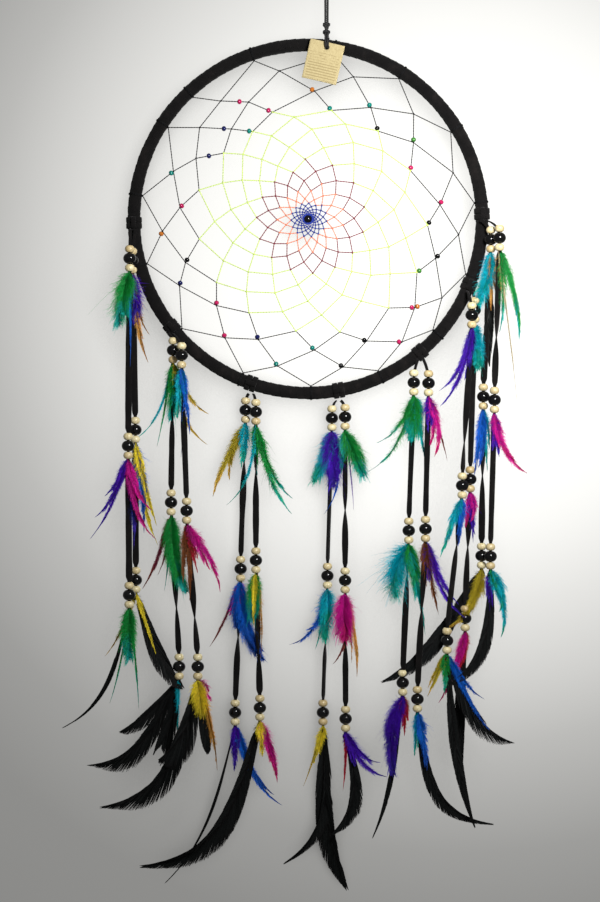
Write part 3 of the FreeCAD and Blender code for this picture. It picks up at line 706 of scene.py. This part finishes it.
def make_hanging_cord():
    route = [(1.1, 0, -60.5), (1.1, 0, -34), (1.5, 0, -20), (2.62, 0, -8), (2.9, 0, -0.7), (0, 0, -0.55)]
    route += [(-x, y, z) for x, y, z in route[4::-1]]
    line = spline_points(route)
    made = piece("hanging_cord_rope", rope(line, CORD_RADIUS), "hanger", "cord", ["hanging_cord"])


def make_knots():
    piece("upper_knot", overhand(UPPER_KNOT, KNOT_SIZE, KNOT_CORD), "knot", "cord", ["hanger_knot"])
    neck = rope(np.linspace(UPPER_KNOT, LOWER_KNOT, 20), CORD_RADIUS * 1.5)
    made = piece("knot_neck", neck, None, "cord")
    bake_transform(made)


def on_hoop(angle):
    """Where the hoop's centre line is at an angle, and the way along it there."""
    outward = heading(angle)
    return HOOP_CENTRE + outward * HOOP_RADIUS, np.cross(outward, Y)


def make_tie():
    """The cord's turns round the hoop, the knot above them and the eye for the tag."""
    middle, along = on_hoop(math.acos(-HOOP_CENTRE[0] / HOOP_RADIUS))
    parts = overhand(LOWER_KNOT, KNOT_SIZE, KNOT_CORD)
    for side in (-CORD_APART, CORD_APART):
        parts += rope(ring_round(middle + along * side, along, TIE_RADIUS), CORD_RADIUS, True)
        parts += rope(ring_round(EYE + X * side, X, EYE_RADIUS), CORD_RADIUS, True)
        route = [LOWER_KNOT + X * side, (side, -7, -69.5), (side, -11.5, -73), EYE + X * side + Z * 3.6]
        parts += rope(spline_points(route), CORD_RADIUS)
    piece("cord_tie", parts, "hoop", "cord", ["hoop_tie"])


def make_tag():
    """A square-cornered card with one hole, slightly cupped."""
    half, top, low = TAG_WIDTH / 2, TAG_HOLE_DOWN, TAG_HOLE_DOWN - TAG_HEIGHT
    count = 96
    turn = np.linspace(0, 2 * math.pi, count, endpoint=False)
    ray = np.stack([np.cos(turn), np.sin(turn)], -1)
    reach = np.minimum(half / np.maximum(abs(ray[:, 0]), 1e-6),
                       np.where(ray[:, 1] > 0, top, -low) / np.maximum(abs(ray[:, 1]), 1e-6))
    outer = ray * reach[:, None]
    for corner in ((half, top), (-half, top), (half, low), (-half, low)):
        nearest = np.argmin(np.linalg.norm(outer - corner, axis=1))
        outer[nearest] = corner
    steps = 16
    share = np.linspace(0, 1, steps)[None, :, None]
    sheet = ray[:, None] * TAG_HOLE * (1 - share) + outer[:, None] * share
    right = heading(-math.radians(TAG_TURN))
    up = np.cross(right, Y)
    centre = EYE - Z * EYE_RADIUS
    flat_at = centre + right * sheet[..., :1] + up * sheet[..., 1:]
    cup = (0.6 * (sheet[..., 0] / half) ** 2 + 0.5 * (sheet[..., 1] / TAG_HEIGHT) ** 2)[..., None]
    front = flat_at + Y * (cup - 0.6 - TAG_THICKNESS / 2)
    back = front + Y * TAG_THICKNESS
    rings = np.concatenate([front, back[:, ::-1]], 1)
    place = np.concatenate([sheet, sheet[:, ::-1]], 1)
    u, v = (place[..., 0] + half) / TAG_WIDTH, (place[..., 1] - low) / TAG_HEIGHT
    side = np.concatenate([np.zeros_like(sheet[..., 0]), np.ones_like(sheet[..., 0])], 1)
    values = np.stack([u, v, side], -1).reshape(-1, 3)
    card = part(rings, [grid_faces(count, 2 * steps)], values)
    piece("kraft_tag", [card], "tag", "card", ["swing_tag"])


# Hoop

# The strip's turns, how far each lap stands up, and how far below the hoop's radius its low side is.
WRAP_TURNS, WRAP_LAP, WRAP_SUNK = 131, 0.55, 0.45


def smooth_noise(count, cell, amount):
    """A closed run of gentle random values."""
    knots = RNG.uniform(-amount, amount, max(count // cell, 4))
    at = np.arange(count) * len(knots) / count
    low = np.floor(at).astype(int)
    share = eased(at - low)
    return knots[low % len(knots)] * (1 - share) + knots[(low + 1) % len(knots)] * share


def make_wrap():
    """The suede strip wound round the core. Each turn laps the last, and its edge stands a little proud."""
    around, across = 2000, 30
    u = np.arange(around) / around
    v = np.arange(across) / across
    wander = smooth_noise(around, 14, 0.16)
    phase = (WRAP_TURNS * u[:, None] + wander[:, None] + v[None]) % 1
    edge = WRAP_LAP * np.clip(phase / 0.12, 0, 1) * (1 - 0.75 * phase)
    lump = smooth_noise(around, 23, 0.16)[:, None] + smooth_noise(around, 60, 0.12)[:, None]
    nap = RNG.uniform(-0.05, 0.05, (around, across))
    radius = WRAP_RADIUS - WRAP_SUNK + edge + lump + nap
    angle = 2 * math.pi * u
    outward = np.stack([np.cos(angle), 0 * angle, np.sin(angle)], -1)[:, None]
    spin = 2 * math.pi * v[None, :, None]
    way = outward * np.cos(spin) - Y * np.sin(spin)
    rings = HOOP_CENTRE + outward * HOOP_RADIUS + way * radius[..., None]
    wrap = part(rings, [grid_faces(around, across)[:, ::-1]])
    piece("suede_wrap", [wrap], "hoop", "suede", ["hoop_wrap"])


def knots_of_web():
    """Every knot in the hoop's plane, in the order they are tied."""
    turns = np.radians(STITCH_ANGLES)
    knots = list(np.stack([np.cos(turns), 0 * turns, np.sin(turns)], -1) * STITCH_RADIUS)
    knots += [np.array([x, 0, z]) for x, z in BLACK_KNOTS]
    angles = [math.atan2(knot[2], knot[0]) for knot in knots]
    for m in range(len(knots), KNOT_COUNT):
        before, after = angles[m - TURN], angles[m - TURN + 1]
        share = SWIRL_SHARE if m < SWIRL_ENDS_AT else INNER_SHARE
        angle = after + share * ((before - after) % (2 * math.pi))
        angles.append(angle)
        radius = np.interp(m / TURN - FIRST_TURN, range(len(TURN_RADII)), TURN_RADII)
        knots.append(radius * heading(angle))
    return np.array(knots)


def thread(points, closed):
    """A two-ply thread: a two-lobed section that turns as it goes."""
    line, far = resampled(points, 0.7, closed)
    spin = 2 * math.pi * far / 5.6
    turn = np.arange(8) * math.pi / 4
    radius = THREAD_RADIUS * (1 + 0.22 * np.cos(2 * (turn[None] - spin[:, None])))
    section = np.stack([np.cos(turn)[None] * radius, np.sin(turn)[None] * radius], -1)
    return swept(line, lambda n: section, closed, sides=Y)


def make_web():
    """Each dyed thread goes from knot to knot. The hitch that the next turn ties pulls each span in."""
    knots = knots_of_web()
    for colour, first, last in THREADS:
        ends = [knots[first:last] - Y * SPAN_SLOPE, knots[first + TURN : last + TURN] + Y * SPAN_SLOPE]
        line = np.vstack([np.stack(ends, 1).reshape(-1, 3), knots[last : last + 1]])
        parts = [thread(line + HOOP_CENTRE, False)]
        for m in range(max(first, TURN), last):
            along = unit(knots[m - TURN] - knots[m])
            for shift in (-HITCH_APART, HITCH_APART):
                loop = ring_round(knots[m] + HOOP_CENTRE + along * shift, along, HITCH_RADIUS, 8)
                parts.append(swept(loop, circle(HITCH_THREAD, 6), True))
        if last + TURN == KNOT_COUNT:
            reach = Z * MIDDLE_RINGS[-1]
            for radius in MIDDLE_RINGS:
                parts.append(thread(ring_round(HOOP_CENTRE, Y, radius), True))
            parts.append(thread(np.linspace(HOOP_CENTRE - reach, HOOP_CENTRE + reach, 9), False))
        if not first:
            for angle in np.radians(STITCH_ANGLES):
                middle, along = on_hoop(angle)
                for shift in (-STITCH_APART, STITCH_APART):
                    turn = ring_round(middle + along * shift, along, WRAP_RADIUS + STITCH_CLEAR)
                    parts.append(thread(turn, True))
        name = f"thread_{colour}"
        piece(f"web_{name}", parts, "hoop", name, [f"web_{colour}"])
    return knots


def make_web_beads(knots):
    for colour, places in WEB_BEADS.items():
        parts = []
        for m, distance in places:
            along = unit(knots[m - TURN] - knots[m])
            parts.append(bead(*SMALL_BEAD, HOOP_CENTRE + knots[m] + along * distance, along, 20))
        name = f"bead_{colour}"
        piece(f"small_beads_{colour}", parts, "hoop", name, [f"web_beads_{colour}"])
    centre = bead(*MIDDLE_BEAD, HOOP_CENTRE, Z, 32)
    piece("middle_bead", [centre], "hoop", "bead_black", ["web_centre_bead"])


# Pendants

# A hitch's two turns, along the hoop and out from it. Half its bar's length, and how far the bar stands out.
HITCH_SHIFT, HITCH_REACH = 2.9, 7.35
BAR_REACH, BAR_STANDS = 5.2, 8.6


def tail_depths(pendant):
    """Y of the rear and the front tail."""
    faces, _, apart, _ = pendant
    rear = REAR_TAIL_Y if faces == "front" else apart / 2
    return rear, rear - apart


def tail_route(pendant, tail):
    """The lace's route: out of the hitch, then straight through each group of beads."""
    faces, (x, z), _, tails = pendant
    order = 1 if tails[1][0][0] > tails[0][0][0] else -1
    side = order * (2 * tail - 1)
    route = [(x + side * START_APART, FRONT_START_Y if faces == "front" else 0, z - START_DROP[faces])]
    depth = tail_depths(pendant)[tail]
    for x, z in tails[tail]:
        route += [(x, depth, z + GROUP_HALF), (x, depth, z - GROUP_HALF)]
    x, z = tails[tail][-1]
    return route + [(x, depth, z - GROUP_HALF - TAIL_END)]


def lace_profile(letter, line, groups):
    """Width, thickness and twist of a lace at each point: gathered in the beads, mostly flat between them."""
    low = line[:, 2]
    gathered = np.clip((low - groups[0][1]) / 8, 0, 1)
    for _, z in groups:
        gathered = np.maximum(gathered, 1 - np.clip((abs(low - z) - GROUP_HALF + 1.5) / 6, 0, 1))
    gathered = eased(gathered)
    width = LACE_WIDTH * (1 - gathered) + LACE_NECK * gathered
    width = width * (1 + 0.06 * smooth_noise(len(line), 9, 1.0))
    twist = np.full(len(line), RNG.choice([-1, 1]) * LACE_TURN[letter])
    for (_, above), (_, below) in zip(groups, groups[1:]):
        middle = below + (above - below) * RNG.uniform(0.3, 0.7)
        share = np.clip((middle - low) / RNG.uniform(60, 110) + 0.5, 0, 1)
        twist += RNG.choice([-1, 0, 1]) * math.pi * eased(share) + RNG.normal(0, 0.1) * share
    return width, np.full(len(line), LACE_THICKNESS), twist


def make_lace(letter, pendant, tail):
    route = tail_route(pendant, tail)
    line = spline_points(route)
    fine, _ = resampled(line, 1.6)
    width, thick, twist = lace_profile(letter, fine, pendant[3][tail])
    end = np.clip(1 - abs(fine[:, 2] - fine[-1, 2] - 2.6) / 2.6, 0, 1)
    width, thick = np.maximum(width, 4.2 * end), np.maximum(thick, 3.8 * end)
    lace = swept(fine, flat(width, thick, twist), sides=X)
    name = f"lace_{letter}_{'rear' if tail == 0 else 'front'}"
    nodes = [f"lace_{letter}"] if tail == 0 else []
    made = piece(name, [lace], f"pendant_{letter}", "suede", nodes)


def make_hitch(letter, pendant):
    """A lark's head of lace: two turns round the hoop and the bar that crosses them."""
    _, (x, z), _, _ = pendant
    middle, along = on_hoop(math.atan2(z - HOOP_CENTRE[2], x - HOOP_CENTRE[0]))
    parts = []
    for side in (-1, 1):
        turn = ring_round(middle + along * side * HITCH_SHIFT, along, HITCH_REACH, 40)
        radial = unit(turn - middle - along * side * HITCH_SHIFT)
        parts.append(swept(turn, flat(1.2, 5.3, 0.0, 0.5), True, sides=radial))
    arc = np.linspace(-1, 1, 15)[:, None]
    bar = middle + along * arc * BAR_REACH - Y * (BAR_STANDS - 1.6 * arc**4)
    parts.append(swept(bar, flat(1.4, 4.6, 0.0, 0.6), sides=-Y))
    piece(f"larks_head_{letter}", parts, "hoop", "suede", [f"hitch_{letter}"])


def pendant_piece(kind, letter, parts, slot, node_kind):
    piece(f"{kind}_{letter}", parts, f"pendant_{letter}", slot, [f"{node_kind}_{letter}"])


def make_beads(letter, pendant):
    wood, black = [], []
    for tail, depth in enumerate(tail_depths(pendant)):
        for x, z in pendant[3][tail]:
            black.append(bead(*BLACK_BEAD, BEAD_BORE, np.array([x, depth, z]), Z, 40))
            for offset in (-BEAD_PITCH, BEAD_PITCH):
                shade = (RNG.uniform(), 0.5, 0.5)
                wood.append(bead(*WOOD_BEAD, BEAD_BORE, np.array([x, depth, z + offset]), Z, 32, shade))
    pendant_piece("turned_wood_beads", letter, wood, "bead_wood", "wood_beads")
    pendant_piece("gloss_beads", letter, black, "bead_black", "black_beads")


# Feathers

BARB_STATIONS = 4
NEAR_WALL, NEAR_VIEWER = 8.0, -33.0


def tucked(points):
    """Points kept between the wall and as far forward as the feathers stand."""
    y = points[..., 1]
    y = np.where(y > NEAR_WALL, NEAR_WALL + 4 * np.tanh((y - NEAR_WALL) / 4), y)
    y = np.where(y < NEAR_VIEWER, NEAR_VIEWER + 6 * np.tanh((y - NEAR_VIEWER) / 6), y)
    return np.stack([points[..., 0], y, points[..., 2]], -1)


def quill_line(root, lean, length, bend, depth_bend, count=40):
    """A feather's quill, bent to one side, more so towards its tip, and a little in depth."""
    right = heading(math.radians(lean))
    along = np.cross(Y, right)
    t = np.linspace(0, 1, count)[:, None]
    bowed = 4 * t * (1 - t) * (0.6 + 0.8 * t) * bend
    return root + along * length * t + right * bowed + Y * depth_bend * np.sin(t * math.pi * 0.5) ** 2


def clumped(t, amount, splits):
    """The same small change for neighbouring barbs, with a jump at each split of the vane."""
    edges = np.sort(RNG.uniform(0, 1, splits))
    return RNG.normal(0, amount, splits + 1)[np.searchsorted(edges, t)]


def barbs(line, side_way, width, dye, tip_dye, style):
    """Both vanes as separate curved barbs that lie close together, except in the fluff near the root."""
    along = unit(np.gradient(line, axis=0))
    side = unit(side_way - along * (side_way * along).sum(1, keepdims=True))
    face = np.cross(along, side)
    length = length_of(line)
    close = max(int(length / style["spacing"]), 20)
    downy = int(length * style["fluff"] / style["down_spacing"])
    made = []
    for hand in (-1, 1):
        t = np.concatenate([np.linspace(0.04, 0.99, close), RNG.uniform(0.02, style["fluff"], downy)])
        down = np.arange(len(t)) >= close
        at = t * (len(line) - 1)
        here, t1, s1, f1 = (np.stack([np.interp(at, np.arange(len(line)), a[:, k]) for k in range(3)], -1)
                            for a in (line, along, side, face))
        ragged = 1 + clumped(t, style["ragged"], style["splits"]) + RNG.normal(0, style["ragged"] / 3, len(t))
        ragged = np.where(down, RNG.triangular(0.5, 1, 1.3, len(t)), ragged * style["vane"])
        reach = width / 2 * style["outline"](t) * np.clip(ragged, 0.3, 1.5)
        lean = style["lean"] * (1 - 0.55 * t) + clumped(t, style["loose"], style["splits"])
        lean = np.radians(np.where(down, RNG.normal(55, 16, len(t)), lean + RNG.normal(0, 1.2, len(t))))
        lift = np.where(down, RNG.normal(0, 0.6, len(t)), clumped(t, 0.1, style["splits"]) + 0.12)
        way = t1 * np.cos(lean)[:, None] + hand * s1 * np.sin(lean)[:, None] + f1 * lift[:, None]
        long = np.minimum(reach / np.maximum(np.sin(lean), 0.3), (1 - t) * length + 3)[:, None, None]
        s = np.linspace(0, 1, BARB_STATIONS)[None, :, None]
        curl = np.where(down, RNG.normal(0, 0.3, len(t)), style["curl"])[:, None, None]
        mid = here[:, None] + way[:, None] * long * s + t1[:, None] * long * curl * s**2
        mid = mid - Z * long * s**2 * 0.1
        broad = np.where(down, 0.3, style["barb"] * RNG.uniform(0.85, 1.15, len(t)))[:, None, None]
        half = broad * (1 - 0.7 * s**2) / 2
        across = unit(t1 - way * (t1 * way).sum(1, keepdims=True) + f1 * RNG.normal(0, 0.15, len(t))[:, None])
        strips = tucked(np.stack([mid - across[:, None] * half, mid + across[:, None] * half], 2))
        step = np.arange(len(t))[:, None] * BARB_STATIONS * 2 + np.arange(BARB_STATIONS - 1)[None] * 2
        first = step.reshape(-1)
        quads = np.stack([first, first + 1, first + 3, first + 2], -1)
        tone = (1 + clumped(t, 0.12, 9) + RNG.normal(0, 0.08, len(t))).clip(0.5, 1.6)[:, None, None]
        root_dark = (0.8 + 0.2 * np.clip(t / 0.3, 0, 1))[:, None, None]
        turned = np.clip((t - 0.55) / 0.5 + clumped(t, 0.2, 12), 0, 0.6)[:, None, None]
        colour = np.asarray(dye) * (1 - turned) + np.asarray(tip_dye) * turned
        colour = colour * tone * root_dark * (0.8 + 0.35 * s)
        # Painted sheen: a colour added to each barb, brightest at its middle (greenish on the black
        # feathers).
        colour = colour + np.asarray(style["painted_sheen"]) * (s * (1 - s) * 4) * tone
        made.append(part(strips, [quads], np.repeat(colour[:, :, None], 2, 2).reshape(-1, 3)))
    return made


def hackle_outline(t):
    """Full above the root, then drawn out to a fine point."""
    return np.clip(0.35 + t / 0.22, 0, 1) * (1 - t) ** 0.75 * (1 + 0.12 * np.sin(t * 11))


def puff_outline(t):
    """A short downy feather with a rounded end."""
    return np.clip(0.4 + t / 0.2, 0, 1) * np.sqrt(np.clip(1 - t**3, 0, 1))


def coque_outline(t):
    """Narrow at the root, broad in the middle and drawn out to a long point."""
    grow = np.clip(t / 0.4, 0, 1)
    fall = np.clip((t - 0.45) / 0.55, 0, 1)
    return (0.4 + 0.6 * eased(grow)) * (1 - 0.9 * fall**1.2)


# How each kind of feather is made: distance between barbs, and between those of its down, its outline, the
# share of its length with down, how uneven the barbs' lengths are, the splits in each vane, the barbs' lean
# from the quill in degrees, how much that varies, their curl, their width, the vanes' width and a painted
# sheen added to the barbs' colour.
DYED_STYLE = {
    "spacing": 0.5, "down_spacing": 0.2, "outline": hackle_outline, "fluff": 0.72, "ragged": 0.2,
    "splits": 14, "lean": 40, "loose": 8, "curl": 0.3, "barb": 0.42, "vane": 0.72, "painted_sheen": (0, 0, 0),
}
PUFF_STYLE = DYED_STYLE | {
    "down_spacing": 0.11, "outline": puff_outline, "fluff": 1.0, "ragged": 0.3, "vane": 0.6,
}
COQUE_STYLE = {
    "spacing": 0.4, "down_spacing": 0.5, "outline": coque_outline, "fluff": 0.12, "ragged": 0.02, "splits": 3,
    "lean": 30, "loose": 1, "curl": 0.35, "barb": 0.95, "vane": 1.0, "painted_sheen": (0.0006, 0.0018, 0.0016),
}
# From this width, a dyed feather is a downy puff. From the next, it is two laid together.
PUFF_WIDTH = 13
TWIN_WIDTH = 6
COQUE_BLACK = (0.004, 0.0038, 0.004)


def feather(root, words, dye, tip_dye, style, twins=1):
    """One feather, or two laid together, each with its quill and vanes."""
    lean, length, width, bend = words
    parts = []
    for n in range(twins):
        line = quill_line(
            root + np.array([RNG.normal(0, 0.5), RNG.normal(0, 0.5), 0]),
            lean + n * RNG.normal(0, 5),
            length * (1 - n * RNG.uniform(0.1, 0.4)),
            bend * (1 - 0.3 * n) + n * RNG.normal(0, 1.5),
            RNG.normal(0, 1.8) - 1.0,
        )
        line = tucked(line)
        roll = RNG.normal(0, 0.35)
        side = X * math.cos(roll) + Y * math.sin(roll)
        quill = np.linspace(0.5, 0.1, len(line)) * (0.8 if length < 80 else 1.0)
        parts.append(swept(line, circle(quill, 6), value=tinted(dye, 0.45)))
        parts += barbs(line, side, width, dye, tip_dye, style)
    return parts


def make_feathers(letter, pendant):
    depths = tail_depths(pendant)
    parts = []
    for (tail, group), feathers in zip(GROUP_ORDER, DYED[letter]):
        x, z = pendant[3][tail][group]
        for n, (dye, *words) in enumerate(feathers):
            root = np.array([x + RNG.normal(0, 0.6), depths[tail] - 2.2 + 1.4 * n, z - GROUP_HALF + 1])
            tip_dye = DYES[TIP_DYES.get(dye, dye)]
            style = PUFF_STYLE if words[2] >= PUFF_WIDTH else DYED_STYLE
            parts += feather(root, words, DYES[dye], tip_dye, style, 2 if words[2] > TWIN_WIDTH else 1)
    pendant_piece("dyed_plumes", letter, parts, "feather_dyed", "dyed_feathers")
    parts = []
    for (tail, group), feathers in COQUE[letter].items():
        x, z = pendant[3][tail][group]
        for n, words in enumerate(feathers):
            root = np.array([x, depths[tail] + 1.5 + n, z - GROUP_HALF + 1])
            parts += feather(root, words, COQUE_BLACK, COQUE_BLACK, COQUE_STYLE)
    pendant_piece("coque_plumes", letter, parts, "feather_black", "coque_feathers")


# Stage

# The far wall's plane, and its painted pool of light: how bright the wall glows by distance from its
# brightest place, as shares of WALL_FADES.
WALL_Y = 0.8
WALL_BRIGHTEST = (0.198, WALL_Y, -0.232)
WALL_FADES = 1.5
WALL_GLOW = [(0.12, 1.25), (0.18, 1.12), (0.25, 0.98), (0.32, 0.8), (0.4, 0.62), (0.45, 0.5), (0.55, 0.34),
             (0.64, 0.27), (1.0, 0.22)]
# The veil: its plane, how near the object shades it, and the way to the lamp.
VEIL_Y = 0.0145
SHADE_REACH = 0.07
TO_LAMP = (0.36, -0.86, 0.36)
FLOOR_Z = -1.5
STAGE_REACH = 3.0


def wall_material():
    """A pale wall that glows with a painted pool of light, brightest beside the hoop. It can't be seen from
    its back.
    """
    made, tree, _ = new_material("pale_wall_painted_light")
    place = node(tree, "ShaderNodeTexCoord").outputs["Object"]
    words = {0: place, 1: WALL_BRIGHTEST}
    away = node(tree, "ShaderNodeVectorMath", words, operation="DISTANCE").outputs["Value"]
    share = node(tree, "ShaderNodeMath", {0: away, 1: WALL_FADES}, operation="DIVIDE").outputs[0]
    # Painted pool of light: the wall's glow fades with distance from WALL_BRIGHTEST.
    colour = mixed(tree, 1.0, ramp(tree, share, WALL_GLOW), (1.0, 0.995, 0.965), "MULTIPLY")
    light = node(tree, "ShaderNodeEmission", {"Color": colour})
    clear = node(tree, "ShaderNodeBsdfTransparent")
    back = node(tree, "ShaderNodeNewGeometry").outputs["Backfacing"]
    seen_as(tree, node(tree, "ShaderNodeMixShader", {0: back, 1: light.outputs[0], 2: clear.outputs[0]}))
    return made


def veil_material():
    """Clear, but for the soft shade that the object would cast on a wall just behind it."""
    made, tree, _ = new_material("shade")
    words = dict(zip("XYZ", TO_LAMP))
    words = {"Distance": SHADE_REACH, "Normal": node(tree, "ShaderNodeCombineXYZ", words).outputs[0]}
    open_share = node(tree, "ShaderNodeAmbientOcclusion", words, samples=16).outputs["AO"]
    dim = ramp(tree, open_share, [(0.0, 0.05), (0.4, 0.5), (0.85, 1.0)])
    seen_as(tree, node(tree, "ShaderNodeBsdfTransparent", {"Color": dim}))
    return made


def floor_material():
    made, tree, shader = new_material("pale_floor")
    look(tree, shader, {"Base Color": (0.75, 0.75, 0.74, 1), "Roughness": 0.9})
    return made


def stage_sheet(name, corners, material):
    mesh = bpy.data.meshes.new(name)
    mesh.from_pydata(corners, [], [(0, 1, 2, 3)])
    mesh.materials.append(material)
    sheet = in_scene(name, mesh)
    return sheet


def upright(y, reach, low, high):
    return [(-reach, y, low), (reach, y, low), (reach, y, high), (-reach, y, high)]


def make_stage():
    """A pale wall and floor, clear of every swing, and a veil that holds only the shade of a nearer wall."""
    stage_sheet("wall", upright(WALL_Y, STAGE_REACH, FLOOR_Z, 1.6), wall_material())
    square = [(-1, -1), (1, -1), (1, 1), (-1, 1)]
    floor = [(x * STAGE_REACH, y * STAGE_REACH, FLOOR_Z) for x, y in square]
    stage_sheet("floor", floor, floor_material())
    veil = stage_sheet("wall_shade", upright(VEIL_Y, 1, -1.4, 0.4), veil_material())
    veil.visible_shadow = veil.visible_diffuse = veil.visible_glossy = False


def make_camera():
    """Square on to the wall, with the view's height 902 mm at the hoop's plane."""
    distance, high = 1.9, 0.902
    data = bpy.data.cameras.new("camera")
    data.lens = data.sensor_width * distance / high
    camera = in_scene("camera", data)
    camera.location = (-0.0265, -distance, -0.486)
    camera.rotation_euler = (math.pi / 2, 0, 0)
    bpy.context.scene.camera = camera


def area_light(name, at, towards, size, power, spread=math.pi):
    data = bpy.data.lights.new(name, "AREA")
    data.energy = power
    data.size = size
    data.spread = spread
    light = in_scene(name, data)
    light.location = at
    light.rotation_euler = (Vector(towards) - Vector(at)).to_track_quat("-Z", "Y").to_euler()


def make_light():
    """A near lamp on the right, a wide soft one in front, and even light all round."""
    world = bpy.data.worlds.new("room")
    world.use_nodes = True
    world.node_tree.nodes["Background"].inputs["Color"].default_value = (1.0, 0.99, 0.95, 1)
    world.node_tree.nodes["Background"].inputs["Strength"].default_value = 0.21
    bpy.context.scene.world = world
    area_light("lamp", (0.26, -0.78, -0.14), (0.14, 0, -0.22), 0.22, 5.4, math.radians(110))
    area_light("front", (-0.4, -2.2, 0.2), (0, 0, -0.45), 1.2, 0.8)


make_camera()
make_hanging_cord()
for LETTER, PENDANT in PENDANTS.items():
    for TAIL in (0, 1):
        make_lace(LETTER, PENDANT, TAIL)
make_knots()
make_tie()
make_tag()
make_wrap()
make_web_beads(make_web())
for LETTER, PENDANT in PENDANTS.items():
    make_hitch(LETTER, PENDANT)
    make_beads(LETTER, PENDANT)
    make_feathers(LETTER, PENDANT)
make_stage()
make_light()
bpy.context.scene.view_settings.view_transform = "Standard"
